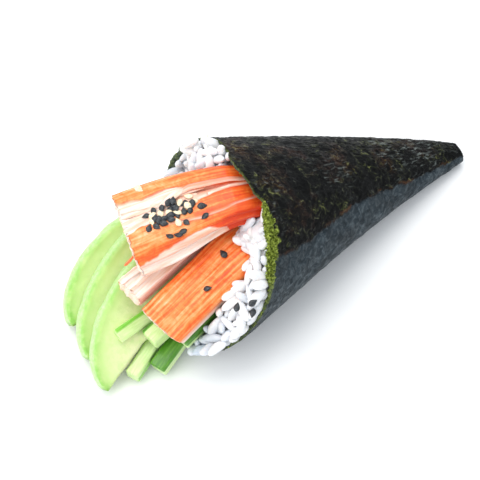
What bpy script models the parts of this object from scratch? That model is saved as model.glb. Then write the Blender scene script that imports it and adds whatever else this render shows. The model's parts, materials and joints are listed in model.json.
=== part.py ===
"""A temaki hand roll lying on its side: a cone of nori round rice, crab sticks, avocado and cucumber.

Frame, in metres: +X runs along the cone to its tip, +Z is up and the cone lies on the plane Z = 0.
A place on the cone is given by its run, the distance back from the apex along -X, and its angle
round the cone, where 0 is +Y and 90 degrees is straight up. At the end everything is moved so that
the origin is the middle of the bottom of the whole roll's box.
"""
import math
from collections import namedtuple

import bmesh
import bpy
from mathutils import Vector, noise

MM = 0.001
GAP = 0.3 * MM                   # clearance between pieces that touch
SHARP_ANGLE = math.radians(40)   # edges sharper than this are shaded sharp

# The nori cone
APEX_X = 102 * MM                # where the cone would come to a point
TIP_RUN = 11 * MM                # the blunt end of the cone
SIDE_SLOPE = 0.318               # half width of the cone per metre of run
TOP_SLOPE = 0.54                 # height of the cone per metre of run
FLAT_DROP = 0.012                # part of the height that is pressed flat on the table
CONE_BOW = 1.4 * MM              # how far the middle of the cone bows sideways
TIP_SWAY = 1.8 * MM              # how far the tip bends the other way
TIP_SWAY_RUN = 22 * MM           # the run over which that bend fades
MOUTH_RUN = 108.4 * MM           # run of the middle of the mouth
MOUTH_LEAN = 0.722               # how far the mouth leans back per metre of height
MOUTH_SKEW = 0.104               # how far the mouth turns per metre of width
NORI_WALL = 1.1 * MM             # the turns of the sheet, pressed together
NORI_LAP = 0.5 * MM              # extra thickness where the sheet's end lies on top
SEAM_ANGLE = math.radians(142)   # where the end of the sheet shows
SEAM_WANDER = math.radians(4)    # how far that edge strays to either side
NORI_COLUMNS = 44
NORI_ROWS = 11

# The rice
RICE_START = 30 * MM             # run at which the rice begins
RICE_BULGE = 5.0 * MM            # how far the heap stands out of the mouth at its middle
RICE_LIP = 2.5 * MM              # and near its edge
RICE_EDGE_POWER = 8              # how late the heap falls off to the nori
RICE_RELIEF = 1.3 * MM
RICE_LUMP = 6.5 * MM             # size of a lump
RICE_ROWS = 7
RICE_RINGS = 8
RICE_RING_POWER = 1.5            # brings the front's rings closer together at its edge

# Crab sticks. A path is the middle of the upper face, from the free end into the cone.
Stick = namedtuple("Stick", "path widths thick tilt dip bias")
UPPER_STICK = Stick(
    path=(Vector((-34, 9.8, 43.5)) * MM, Vector((-14, 5.8, 47)) * MM,
          Vector((6, 1, 47.5)) * MM, Vector((31, -2, 34)) * MM),
    widths=(26 * MM, 23.5 * MM, 19 * MM, 17 * MM),
    thick=10.5 * MM,
    tilt=0.0,
    dip=2.2 * MM,                # depth of the valley where the stick is torn open
    bias=0.0)
LOWER_STICK = Stick(
    path=(Vector((-37, -20, 27.5)) * MM, Vector((-18, -15, 31)) * MM,
          Vector((2, -10.5, 33.5)) * MM, Vector((26, -8.5, 21.5)) * MM),
    widths=(16.8 * MM, 16.8 * MM),
    thick=8.5 * MM,
    tilt=math.radians(3),        # the face leans towards -Y
    dip=0.0,
    bias=0.16)                   # slant of the cut across the free end
HALF_STICK = Stick(
    path=(Vector((-40.6, -5.6, 29.8)) * MM, Vector((-20, -0.4, 32)) * MM, Vector((2, 4.6, 33)) * MM),
    widths=(9.8 * MM, 9.8 * MM),
    thick=6.5 * MM,
    tilt=math.radians(3),
    dip=0.0,
    bias=0.0)
STICK_STATIONS = 11
STICK_POINTS = 20
STICK_SQUARENESS = 0.5           # 1 is an ellipse, 0 a rectangle
DIP_WIDTH = 0.35                 # width of the valley, as a part of the half width
DIP_REACH = 0.62                 # part of the stick over which the valley fades out

# Avocado slices: half ellipses cut lengthwise from a half fruit, straight on the stone's side.
# They lie fanned in parallel planes, with the straight edge from the tip outside into the mouth.
Slice = namedtuple("Slice", "tip turn length depth")
SLICES = (
    Slice(Vector((-58.4, 4.3, 7.0)) * MM, math.radians(39), 61 * MM, 16.5 * MM),
    Slice(Vector((-59.2, -9.6, 6.0)) * MM, math.radians(50), 66 * MM, 16.6 * MM),
    Slice(Vector((-60.0, -22.0, 6.6)) * MM, math.radians(50), 69 * MM, 19 * MM),
)
SLICE_RIGHT = Vector((0.899, -0.322, -0.296))     # a slice's plane is spanned by these two directions
SLICE_UP = Vector((0.433, 0.75, 0.5))
SLICE_THICK = 6.0 * MM
SLICE_ROUND = 2.2 * MM           # rounding of the edge on the skin's side
SLICE_END = math.radians(10)     # where a slice is cut off short of its points
SLICE_STATIONS = 15
SLICE_ROUND_STEPS = 6

# Cucumber batons: the middle of the upper face at the free end and at the hidden end
Baton = namedtuple("Baton", "free hidden width thick roll")
BATONS = (
    Baton(Vector((-48.4, -12.0, 15.8)) * MM, Vector((-30, -9.6, 16.4)) * MM,
          5.0 * MM, 2.4 * MM, math.radians(35)),
    Baton(Vector((-40.3, -17.5, 16.4)) * MM, Vector((-16, -11.8, 21.0)) * MM,
          6.2 * MM, 6.0 * MM, math.radians(6)),
    Baton(Vector((-49.3, -21.6, 6.4)) * MM, Vector((-22, -6.4, 9.2)) * MM,
          5.0 * MM, 5.2 * MM, 0.0),
    Baton(Vector((-41.0, -24.0, 6.6)) * MM, Vector((-18, -13.8, 12.6)) * MM,
          5.6 * MM, 5.4 * MM, math.radians(8)),
    Baton(Vector((-32.2, -21.6, 17.0)) * MM, Vector((-4, -14.6, 22.6)) * MM,
          4.6 * MM, 5.2 * MM, math.radians(4)),
)
BATON_POINTS = 12
BATON_SQUARENESS = 0.35


def clear_scene():
    """Remove every object that is there at the start."""
    for old in list(bpy.data.objects):
        bpy.data.objects.remove(old, do_unlink=True)


def make_material(name, colour, roughness):
    """A plain surface of one colour."""
    material = bpy.data.materials.new(name)
    material.use_nodes = True
    shader = material.node_tree.nodes["Principled BSDF"]
    shader.inputs["Base Color"].default_value = (*colour, 1.0)
    shader.inputs["Roughness"].default_value = roughness
    shader.inputs["Metallic"].default_value = 0.0
    return material


def make_object(name, points, faces, material):
    """One object from its points and faces, with its faces turned outwards."""
    shell = bmesh.new()
    corners = [shell.verts.new(point) for point in points]
    for face in faces:
        shell.faces.new([corners[index] for index in face])
    bmesh.ops.recalc_face_normals(shell, faces=shell.faces)
    mesh = bpy.data.meshes.new(name)
    shell.to_mesh(mesh)
    shell.free()
    mesh.materials.append(material)
    mesh.shade_smooth()
    mesh.set_sharp_from_angle(angle=SHARP_ANGLE)
    made = bpy.data.objects.new(name, mesh)
    bpy.context.scene.collection.objects.link(made)
    return made


def loft(name, rings, material):
    """One closed body through a row of rings that have equally many points."""
    count = len(rings[0])
    points = [point for ring in rings for point in ring]
    faces = [tuple(range(count)), tuple(range(len(points) - count, len(points)))]
    for row in range(len(rings) - 1):
        for column in range(count):
            beside = (column + 1) % count
            faces.append((row * count + column, row * count + beside,
                          (row + 1) * count + beside, (row + 1) * count + column))
    return make_object(name, points, faces, material)


def rolled(side, up, angle):
    """Two crosswise directions turned about the third, so that the upper face leans to the side."""
    return (side * math.cos(angle) - up * math.sin(angle),
            up * math.cos(angle) + side * math.sin(angle))


def box_section(count, squareness):
    """Points round a box with rounded corners, from -1 to 1 across and in height."""
    section = []
    for step in range(count):
        angle = (step + 0.5) / count * math.tau
        across, height = math.cos(angle), math.sin(angle)
        section.append((math.copysign(abs(across) ** squareness, across),
                        math.copysign(abs(height) ** squareness, height)))
    return section


def mouth_run(angle):
    """The run of the cone's edge at an angle: a plane that leans back and turns a little."""
    lean = MOUTH_LEAN * TOP_SLOPE / 2
    reach = 1 + lean * (1 + math.sin(angle)) + MOUTH_SKEW * SIDE_SLOPE * math.cos(angle)
    return MOUTH_RUN * (1 + lean) / reach


def cone_point(run, angle, inset=0.0):
    """A point of the cone at a run and an angle, moved inwards by an inset."""
    bow = CONE_BOW * math.sin(math.pi * (run - TIP_RUN) / (MOUTH_RUN - TIP_RUN))
    sway = TIP_SWAY * math.exp((TIP_RUN - run) / TIP_SWAY_RUN)
    across = (SIDE_SLOPE * run - inset) * math.cos(angle) + bow - sway
    half_height = TOP_SLOPE * run / 2
    drop = FLAT_DROP * TOP_SLOPE * run
    height = half_height - drop + (half_height + drop - inset) * math.sin(angle)
    return Vector((APEX_X - run, across, max(height, inset, 0.0)))


def seam_angle(part):
    """Where the sheet's end lies, at a part of the way from the tip to the mouth."""
    return SEAM_ANGLE + SEAM_WANDER * math.sin(3 * math.pi * part)


def column_angle(column):
    """The angle of a lengthwise line of the sheet's inside, which the rice follows."""
    return SEAM_ANGLE + column / NORI_COLUMNS * math.tau


def nori_outside():
    """The outer points, row by row: a spiral that starts at the sheet's end and lies over it."""
    points = []
    for row in range(NORI_ROWS + 1):
        part = row / NORI_ROWS
        for column in range(NORI_COLUMNS + 1):
            turn = column / NORI_COLUMNS
            angle = seam_angle(part) + turn * math.tau
            run = TIP_RUN + (mouth_run(angle) - TIP_RUN) * part
            points.append(cone_point(run, angle, -NORI_LAP * turn))
    return points


def nori_inside():
    """The inner points, row by row, from where the sheet's turns leave a hollow."""
    start = TIP_RUN / (1 - NORI_WALL / (TOP_SLOPE * TIP_RUN / 2)) + TIP_RUN
    points = []
    for row in range(NORI_ROWS + 1):
        for column in range(NORI_COLUMNS):
            angle = column_angle(column)
            run = start + (mouth_run(angle) - start) * row / NORI_ROWS
            points.append(cone_point(run, angle, NORI_WALL))
    return points


def build_nori(material):
    """The rolled sheet, with a step along the sheet's end and an open mouth."""
    outside = nori_outside()
    inner = len(outside)
    width = NORI_COLUMNS + 1
    faces = [tuple(range(width)), tuple(range(inner, inner + NORI_COLUMNS))]
    for row in range(NORI_ROWS):
        low, high = row * width, (row + 1) * width
        for column in range(NORI_COLUMNS):
            faces.append((low + column, low + column + 1, high + column + 1, high + column))
        faces.append((low, high, high + NORI_COLUMNS, low + NORI_COLUMNS))
        low, high = inner + row * NORI_COLUMNS, inner + (row + 1) * NORI_COLUMNS
        for column in range(NORI_COLUMNS):
            beside = (column + 1) % NORI_COLUMNS
            faces.append((low + column, low + beside, high + beside, high + column))
    rim_out = NORI_ROWS * width
    rim_in = inner + NORI_ROWS * NORI_COLUMNS
    for column in range(NORI_COLUMNS):
        beside = (column + 1) % NORI_COLUMNS
        faces.append((rim_out + column, rim_out + column + 1, rim_in + beside, rim_in + column))
    faces.append((rim_out, rim_out + NORI_COLUMNS, rim_in))
    return make_object("nori_wrap", outside + nori_inside(), faces, material)


def rice_front(angle, reach):
    """A point of the heap's uneven front, at a reach of 0 in its middle and 1 at the nori."""
    inset = NORI_WALL + GAP
    edge = cone_point(mouth_run(angle) - GAP, angle, inset)
    opposite = cone_point(mouth_run(angle + math.pi) - GAP, angle + math.pi, inset)
    place = ((edge + opposite) / 2).lerp(edge, reach)
    outwards = Vector((-1, 0, MOUTH_LEAN)).normalized()
    bulge = RICE_LIP + (RICE_BULGE - RICE_LIP) * (1 - reach ** 2)
    relief = RICE_RELIEF * noise.noise(place / RICE_LUMP)
    point = place + outwards * (bulge + relief) * math.sqrt(1 - reach ** RICE_EDGE_POWER)
    point.z = max(point.z, inset)
    return point


def build_rice(material, cutters):
    """The rice that fills the cone out to an uneven front, with room for the fillings."""
    columns = range(NORI_COLUMNS)
    rings = []
    for row in range(RICE_ROWS):
        ring = []
        for column in columns:
            angle = column_angle(column)
            run = RICE_START + (mouth_run(angle) - GAP - RICE_START) * row / RICE_ROWS
            ring.append(cone_point(run, angle, NORI_WALL + GAP))
        rings.append(ring)
    for step in range(RICE_RINGS):
        reach = 1 - (step / RICE_RINGS) ** RICE_RING_POWER
        rings.append([rice_front(column_angle(column), reach) for column in columns])
    rice = loft("rice", rings, material)
    for cutter in cutters:
        cut = rice.modifiers.new(cutter.name, "BOOLEAN")
        cut.operation = "DIFFERENCE"
        cut.object = cutter
        cutter.hide_render = True
        cutter.display_type = "WIRE"
    return rice


def along(path, part):
    """A point and a direction on a smooth curve through the path's points."""
    index = min(int(part * (len(path) - 1)), len(path) - 2)
    local = part * (len(path) - 1) - index
    start, end = path[index], path[index + 1]
    before = path[max(index - 1, 0)]
    after = path[min(index + 2, len(path) - 1)]
    leave, arrive = (end - before) / 2, (after - start) / 2
    square, cube = local ** 2, local ** 3
    point = (start * (2 * cube - 3 * square + 1) + leave * (cube - 2 * square + local)
             + end * (3 * square - 2 * cube) + arrive * (cube - square))
    return point, (end - start).normalized()


def between(values, part):
    """A value at a part of the way along a row of values."""
    index = min(int(part * (len(values) - 1)), len(values) - 2)
    local = part * (len(values) - 1) - index
    return values[index] + (values[index + 1] - values[index]) * local


def stick_ring(stick, part, grow):
    """A section of a crab stick, hung below the middle of its upper face."""
    point, forward = along(stick.path, part)
    side = forward.cross(Vector((0, 0, 1))).normalized()
    side, up = rolled(side, side.cross(forward), stick.tilt)
    half_width = between(stick.widths, part) / 2 + grow
    half_thick = stick.thick / 2 + grow
    dip = stick.dip * max(0.0, 1 - part / DIP_REACH)
    bias = stick.bias if part == 0 else 0.0
    lengthen = {0: -grow, 1: grow}.get(part, 0.0)
    ring = []
    for across, height in box_section(STICK_POINTS, STICK_SQUARENESS):
        fall = stick.thick / 2 - half_thick * height
        if height > 0:
            fall += dip * math.exp(-(across / DIP_WIDTH) ** 2)
        ring.append(point + side * (across * half_width) - up * fall
                    + forward * (lengthen + bias * across * half_width))
    return ring


def build_stick(name, stick, grow, material):
    """A crab stick along its path; grow makes it larger all round, for the room it needs."""
    rings = [stick_ring(stick, station / (STICK_STATIONS - 1), grow) for station in range(STICK_STATIONS)]
    return loft(name, rings, material)


def slice_ring(middle, out, up, depth, grow):
    """A section of a slice: square on the stone's side, rounded on the skin's side."""
    rounding = min(SLICE_ROUND, depth / 2)
    half_thick = SLICE_THICK / 2
    ring = [middle - out * grow - up * (SLICE_THICK + grow), middle - out * grow + up * grow]
    for step in range(SLICE_ROUND_STEPS + 1):
        angle = math.pi / 2 - step / SLICE_ROUND_STEPS * math.pi
        reach = depth - rounding + (rounding + grow) * math.cos(angle)
        ring.append(middle + out * reach + up * ((half_thick + grow) * math.sin(angle) - half_thick))
    return ring


def build_slice(name, cut, grow, material):
    """A slice of avocado whose straight edge runs from its tip outside into the mouth."""
    chord = SLICE_RIGHT * math.cos(cut.turn) + SLICE_UP * math.sin(cut.turn)
    out = SLICE_UP * math.cos(cut.turn) - SLICE_RIGHT * math.sin(cut.turn)
    up = chord.cross(out).normalized()
    rings = []
    for station in range(SLICE_STATIONS):
        angle = SLICE_END + (math.pi - 2 * SLICE_END) * station / (SLICE_STATIONS - 1)
        place = cut.length / 2 - (cut.length / 2 + grow) * math.cos(angle)
        rings.append(slice_ring(cut.tip + chord * place, out, up, cut.depth * math.sin(angle), grow))
    return loft(name, rings, material)


def build_baton(name, baton, grow, material):
    """A straight baton of cucumber, rounded on its edges."""
    forward = (baton.hidden - baton.free).normalized()
    side = forward.cross(Vector((0, 0, 1))).normalized()
    side, up = rolled(side, side.cross(forward), baton.roll)
    rings = []
    for place in (baton.free - forward * grow, baton.hidden + forward * grow):
        middle = place - up * (baton.thick / 2)
        to_side = side * (baton.width / 2 + grow)
        to_top = up * (baton.thick / 2 + grow)
        rings.append([middle + to_side * across + to_top * height
                      for across, height in box_section(BATON_POINTS, BATON_SQUARENESS)])
    return loft(name, rings, material)


def build_fillings(prefix, grow, crab, avocado, cucumber):
    """Every filling, each grown by the same clearance."""
    sticks = {"crab_stick_upper": UPPER_STICK, "crab_stick_lower": LOWER_STICK, "crab_stick_half": HALF_STICK}
    made = [build_stick(prefix + name, stick, grow, crab) for name, stick in sticks.items()]
    for number, cut in enumerate(SLICES, start=1):
        made.append(build_slice(f"{prefix}avocado_slice_{number}", cut, grow, avocado))
    for number, baton in enumerate(BATONS, start=1):
        made.append(build_baton(f"{prefix}cucumber_baton_{number}", baton, grow, cucumber))
    return made


def stand_on_origin(pieces, helpers):
    """Move everything so that the origin is the middle of the bottom of the pieces' box."""
    points = [point.co for piece in pieces for point in piece.data.vertices]
    lows = [min(point[axis] for point in points) for axis in range(3)]
    highs = [max(point[axis] for point in points) for axis in range(3)]
    shift = Vector((-(lows[0] + highs[0]) / 2, -(lows[1] + highs[1]) / 2, -lows[2]))
    for piece in pieces + helpers:
        for point in piece.data.vertices:
            point.co += shift


def main():
    clear_scene()
    nori = make_material("nori", (0.02, 0.024, 0.018), 0.5)
    rice = make_material("rice", (0.86, 0.85, 0.82), 0.35)
    crab = make_material("crab", (0.93, 0.42, 0.20), 0.4)
    avocado = make_material("avocado", (0.70, 0.83, 0.35), 0.4)
    cucumber = make_material("cucumber", (0.45, 0.65, 0.22), 0.35)
    fillings = build_fillings("", 0.0, crab, avocado, cucumber)
    cutters = build_fillings("room_for_", GAP, crab, avocado, cucumber)
    heap = build_rice(rice, cutters)
    wrap = build_nori(nori)
    stand_on_origin([wrap, heap] + fillings, cutters)


main()
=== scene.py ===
"""The looks of a temaki hand roll. Every CAD solid is replaced by a detailed piece measured from it.

All lengths are in metres in the CAD's frame: +X runs along the cone to its tip, +Z is up. An angle
round the cone is 0 at +Y and 90 degrees straight up. A bar is a crab stick or a cucumber baton; its
run is the distance from its free end and its lane the distance round its section.
"""
import json
import math
import random
from collections import namedtuple

import bmesh
import bpy
import numpy as np
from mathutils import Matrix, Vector, noise
from mathutils.bvhtree import BVHTree

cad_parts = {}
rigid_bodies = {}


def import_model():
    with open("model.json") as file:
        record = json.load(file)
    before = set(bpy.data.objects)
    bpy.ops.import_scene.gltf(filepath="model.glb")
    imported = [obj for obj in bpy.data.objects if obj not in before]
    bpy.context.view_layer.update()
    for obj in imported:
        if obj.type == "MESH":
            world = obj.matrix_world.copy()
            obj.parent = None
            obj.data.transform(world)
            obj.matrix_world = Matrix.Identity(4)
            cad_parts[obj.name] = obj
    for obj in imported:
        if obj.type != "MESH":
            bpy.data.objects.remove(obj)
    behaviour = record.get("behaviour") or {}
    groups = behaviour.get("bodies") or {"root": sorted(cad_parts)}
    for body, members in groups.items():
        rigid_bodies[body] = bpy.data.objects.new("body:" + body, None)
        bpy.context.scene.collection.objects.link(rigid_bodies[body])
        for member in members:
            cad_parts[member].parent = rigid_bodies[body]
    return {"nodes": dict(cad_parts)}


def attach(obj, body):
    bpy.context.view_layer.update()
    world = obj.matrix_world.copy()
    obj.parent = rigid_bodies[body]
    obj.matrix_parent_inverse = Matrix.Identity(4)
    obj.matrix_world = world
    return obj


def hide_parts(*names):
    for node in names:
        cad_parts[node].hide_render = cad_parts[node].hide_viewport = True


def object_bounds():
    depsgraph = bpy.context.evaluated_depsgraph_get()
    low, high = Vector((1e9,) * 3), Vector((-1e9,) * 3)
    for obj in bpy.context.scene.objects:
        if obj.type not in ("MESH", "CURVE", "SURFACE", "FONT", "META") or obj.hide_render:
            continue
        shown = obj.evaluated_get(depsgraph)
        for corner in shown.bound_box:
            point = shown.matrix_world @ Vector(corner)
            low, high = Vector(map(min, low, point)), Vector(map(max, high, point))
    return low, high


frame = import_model()
cad_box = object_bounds()

MM = 0.001
UP = np.array((0.0, 0.0, 1.0))
rng = random.Random(7)
deep_rng = random.Random(19)
seed_rng = random.Random(5)

# The camera and the light
VIEW_AZIMUTH = math.radians(-30)
VIEW_HEIGHT = math.radians(60)
VIEW_TARGET = (-0.144, 0.029, -0.41)  # the middle of the picture, in half sizes of the CAD box
VIEW_DISTANCE = 650 * MM
LENS = 146
FLOOR_SIZE = 3.0

# The nori
SHEET_COLUMNS = 420
SHEET_ROWS = 200
SHEET_WALL = 1.1 * MM
SHEET_LAP = 0.5 * MM
SEAM_ANGLE = 142                      # degrees round the cone where the sheet's end lies
SEAM_WANDER = 4
SEAM_FRAY = 0.7 * MM
# How far the rim strays outwards, in mm, at degrees round the cone
RIM_WANDER = ((0, -2.3), (8, -1.2), (20, -1.2), (45, -1.2), (60, 0.9), (72, 3.0), (80, 4.0), (87, 3.2), (102, 2.2),
              (109, 0.5), (125, 1.8), (142, 2.2), (153, 1.5), (162, -0.6), (170, -0.7), (190, 0.4), (200, 1.4),
              (228, 2.4), (240, 1.4), (260, 0.5), (300, 0.4), (326, -1.0), (338, -3.4), (346, -2.7), (354, -1.8),
              (360, -2.3))
RIM_RAGGED = 0.5 * MM
TORN_WIDTH = ((0, 0.25), (106, 0.4), (114, 1.4), (122, 3.0), (132, 4.0), (140, 4.0), (147, 3.1), (157, 2.2),
              (164, 0.5), (200, 0.25), (360, 0.25))  # how wide the torn edge is, in mm; its bright green is painted light shining through it
RIM_THICK = ((0, 0.0), (106, 0.0), (116, 1.0), (150, 1.0), (163, 0.2), (200, 0.0), (360, 0.0))
RIM_EXTRA = 1.2 * MM                  # how much thicker the layered rim is where RIM_THICK is 1
RIM_STEPS = 7
TUFT_HEIGHT = 0.7 * MM                # how far the torn strip's tufts stand up
BAND_ROWS = 8                         # how many rows of the sheet the torn strip lies in
INNER_ROWS = 12
FRINGE_FLAKES = 1500

# The rice
GRAIN_LENGTH = (6.6 * MM, 8.8 * MM)
GRAIN_WIDTH = (3.0 * MM, 3.6 * MM)
GRAIN_GAP = 3.2 * MM                  # the least distance between neighbours before they settle
GRAIN_LAYERS = (-1.4 * MM, 0.4 * MM, 1.8 * MM)  # heights over the heap at which grains are laid
DEEP_LAYERS = (0.2 * MM, 1.2 * MM)    # and over the core, where it lies open between the fillings
DEEP_GAP = 2.3 * MM                   # the least distance from a deep grain to the grains before it
CORE_DEPTH = 2.0 * MM
CORE_BEHIND = 7.0 * MM                # how much farther in the core lies beside the fillings
CORE_BELOW = 4.0 * MM                 # how far the core stays behind the outermost grains
SETTLE_STEPS = 30
SETTLE_MOVE = 0.45 * MM               # the farthest that a grain moves in one step
SETTLE_SPRING = 0.06                  # how strongly it is drawn back to where it was laid
SETTLE_LEFT = 0.7 * MM                # grains that still lie deeper in a filling are taken away
GRAIN_IN_SHEET = 0.5 * MM             # and grains whose ends lie deeper in the sheet
LEAST_PROUD = (-2.5 * MM, -15 * MM)   # and so are grains farther inside the mouth, on the heap and deep
# How far out of the mouth grains may lie, in mm, at degrees round it
MOST_PROUD = ((0, -1.0), (11, -0.5), (19, 5.0), (70, 5.0), (80, 1.0), (112, 0.0), (122, 0.5), (134, 5.0), (165, 5.5), (200, 7.0), (235, 6.0), (250, 2.5),
              (300, 1.0), (340, -1.0), (360, -1.0))
PROUD_OVER = {"crab_stick_upper": ((0, -1.5), (360, -1.5)), "cucumber_baton_5": ((0, 0.0), (360, 0.0)),
              "crab_stick_lower": ((0, -1.5), (120, -1.5), (132, 2.0), (142, 5.0), (360, 5.0))}  # and over fillings
RICE_RAISED = ((0, 0.0), (15, 0.3), (45, 0.3), (55, -0.5), (75, -0.5), (90, 0.0), (360, 0.0))  # and how far they lie farther out

# Cut and torn edges of the upper crab stick, as (mm from the free end, part of the half width)
HANG_EDGE = ((0, 0.20), (8, 0.35), (18, 0.52), (26, 0.55), (31, 0.1), (36, -1.5), (70, -1.5))
FAR_SKIN = ((0, -0.60), (9, -0.46), (15, -0.52), (24, -0.38), (32, -0.24), (40, -0.14), (70, -0.10))
FLAP_EDGE = ((10, -0.02), (14, -0.08), (18, -0.25), (24, -0.36), (32, -0.31), (70, -0.27))
NEAR_SKIN = ((0, 0.40), (6, 0.32), (17, 0.31), (26, 0.16), (33, 0.04), (42, -0.02), (70, -0.04))
NEAR_SPLIT = ((12, 0.50), (17, 0.56), (25, 0.69), (32, 0.69), (42, 0.52), (70, 0.5))


# ---------------------------------------------------------------- colours and materials

def srgb(red, green, blue):
    """A colour seen on a screen, from 0 to 255, as linear light with alpha."""
    parts = [channel / 255 for channel in (red, green, blue)]
    linear = [part / 12.92 if part <= 0.04045 else ((part + 0.055) / 1.055) ** 2.4 for part in parts]
    return (*linear, 1.0)


class Surface:
    """A material that is built up from small node steps."""

    def __init__(self, name, roughness=0.5, specular=0.5):
        self.material = bpy.data.materials.new(name)
        self.material.use_nodes = True
        self.tree = self.material.node_tree
        self.shader = self.tree.nodes["Principled BSDF"]
        self.shader.inputs["Roughness"].default_value = roughness
        self.shader.inputs["Specular IOR Level"].default_value = specular

    def node(self, kind, sockets=(), **settings):
        """A node with its settings and its input sockets, each a value or another node's output."""
        made = self.tree.nodes.new(kind)
        for key, value in settings.items():
            setattr(made, key, value)
        for key, value in dict(sockets).items():
            if isinstance(value, bpy.types.NodeSocket):
                self.tree.links.new(value, made.inputs[key])
            else:
                made.inputs[key].default_value = value
        return made

    def attribute(self, name):
        """A number stored at each point of the mesh."""
        return self.node("ShaderNodeAttribute", attribute_name=name).outputs["Fac"]

    def place(self):
        """The point's place in metres."""
        return self.node("ShaderNodeTexCoord").outputs["Object"]

    def vector(self, x, y, z=0.0):
        """A vector from three numbers."""
        return self.node("ShaderNodeCombineXYZ", {0: x, 1: y, 2: z}).outputs[0]

    def math(self, operation, first, second=0.0, third=0.0):
        """A sum, product or other operation on two or three numbers."""
        return self.node("ShaderNodeMath", {0: first, 1: second, 2: third}, operation=operation).outputs[0]

    def noise(self, vector, scale, detail=3.0, roughness=0.55, distortion=0.0):
        """Smooth noise from 0 to 1."""
        return self.node("ShaderNodeTexNoise", {"Vector": vector, "Scale": scale, "Detail": detail,
                                                "Roughness": roughness, "Distortion": distortion}).outputs[0]

    def cells(self, vector, scale, feature="F1"):
        """Distance to the nearest cell's middle or, with DISTANCE_TO_EDGE, to its edge."""
        return self.node("ShaderNodeTexVoronoi", {"Vector": vector, "Scale": scale},
                         feature=feature).outputs["Distance"]

    def ramp(self, factor, *stops):
        """A colour for each number, between stops of (number, colour)."""
        made = self.node("ShaderNodeValToRGB", {0: factor})
        elements = made.color_ramp.elements
        elements[0].position, elements[0].color = stops[0]
        elements[1].position, elements[1].color = stops[-1]
        for place, colour in stops[1:-1]:
            elements.new(place).color = colour
        return made.outputs[0]

    def between(self, factor, low, high):
        """Numbers from low to high stretched to 0 to 1."""
        return self.node("ShaderNodeMapRange", {0: factor, 1: low, 2: high}).outputs[0]

    def mix(self, factor, first, second, blend="MIX"):
        """Two colours mixed."""
        made = self.node("ShaderNodeMix", {0: factor, 6: first, 7: second}, data_type="RGBA",
                         blend_type=blend)
        return made.outputs[2]

    def paint(self, colour):
        """The surface's colour."""
        self.tree.links.new(colour, self.shader.inputs["Base Color"])

    def roughen(self, roughness):
        """The surface's roughness, where it varies."""
        self.tree.links.new(roughness, self.shader.inputs["Roughness"])

    def bump(self, height, distance, strength=1.0):
        """Fine relief from a height between 0 and 1."""
        made = self.node("ShaderNodeBump", {"Height": height, "Distance": distance, "Strength": strength})
        self.tree.links.new(made.outputs[0], self.shader.inputs["Normal"])

    def soften(self, weight, radius, scale):
        """Light that travels below the surface."""
        self.shader.inputs["Subsurface Weight"].default_value = weight
        self.shader.inputs["Subsurface Radius"].default_value = radius
        self.shader.inputs["Subsurface Scale"].default_value = scale


def nori_material():
    """Pressed seaweed: black with olive, brown and grey fibres; the smoother sheet below the seam is painted slate
    grey as a reflection of the bright surroundings, and the torn edge is painted bright green as light shining through
    it.
    """
    surface = Surface("nori_sheet", roughness=0.5, specular=0.08)
    place = surface.place()
    tangled = surface.noise(place, 420, detail=6, roughness=0.70, distortion=0.9)
    patches = surface.noise(place, 95, detail=4, roughness=0.6)
    threads = [surface.noise(surface.node("ShaderNodeMapping", {
        "Vector": place, "Rotation": turn, "Scale": (70, 1000, 700)}).outputs[0], 1, detail=3, distortion=0.5)
        for turn in ((0.3, 0.5, -0.9), (-0.2, 0.4, 0.5))]
    dark = surface.ramp(tangled, (0.45, srgb(2, 3, 3)), (0.53, srgb(12, 14, 9)), (0.60, srgb(42, 46, 22)),
                        (0.68, srgb(112, 116, 68)))
    dull = surface.ramp(tangled, (0.46, srgb(2, 3, 3)), (0.60, srgb(12, 13, 13)), (0.68, srgb(60, 62, 54)))
    mottled = surface.mix(surface.between(patches, 0.42, 0.62), dull, dark)
    brown = surface.ramp(surface.noise(place, 75, detail=3), (0.52, srgb(0, 0, 0)), (0.70, srgb(52, 24, 10)))
    fibrous = surface.mix(surface.between(tangled, 0.42, 0.6), mottled, brown, "ADD")
    bundles = surface.between(surface.noise(place, 38, detail=2), 0.46, 0.62)
    for thread, weight in zip(threads, (0.75, 0.4)):
        pale = surface.math("MULTIPLY", surface.between(thread, 0.58, 0.70), weight)
        fibrous = surface.mix(surface.math("MULTIPLY", pale, bundles), fibrous, srgb(128, 136, 132))
    # Painted reflection: the smoother sheet below the seam is painted slate grey, standing in for the bright
    # surroundings mirrored in it.
    painted_slate_reflection = surface.ramp(tangled, (0.36, srgb(26, 34, 39)), (0.50, srgb(46, 56, 62)), (0.66, srgb(78, 88, 93)))
    painted_slate_reflection = surface.mix(surface.math("MULTIPLY", surface.between(patches, 0.45, 0.65), 0.5), painted_slate_reflection, srgb(28, 32, 34))
    sheet = surface.mix(surface.attribute("fibrous"), painted_slate_reflection, fibrous)
    fringe = surface.math("MULTIPLY", surface.attribute("seam"), surface.between(patches, 0.50, 0.64))
    seam = surface.mix(fringe, sheet, srgb(92, 58, 34))
    # Painted light: the torn edge is painted bright green for light shining through its thin torn fibres.
    torn = surface.ramp(surface.noise(place, 1100, detail=5, roughness=0.7), (0.38, srgb(44, 54, 16)),
                        (0.50, srgb(122, 138, 44)), (0.62, srgb(190, 206, 100)))
    surface.paint(surface.mix(surface.attribute("torn"), seam, torn))
    height = surface.math("ADD", surface.math("MULTIPLY", tangled, 0.7),
                          surface.math("MULTIPLY", threads[0], 0.5))
    surface.bump(height, 0.5 * MM, 1.0)
    surface.shader.inputs["Sheen Weight"].default_value = 0.03
    surface.roughen(surface.ramp(tangled, (0.4, (0.66,) * 3 + (1,)), (0.65, (0.36,) * 3 + (1,))))
    return surface.material


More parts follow.
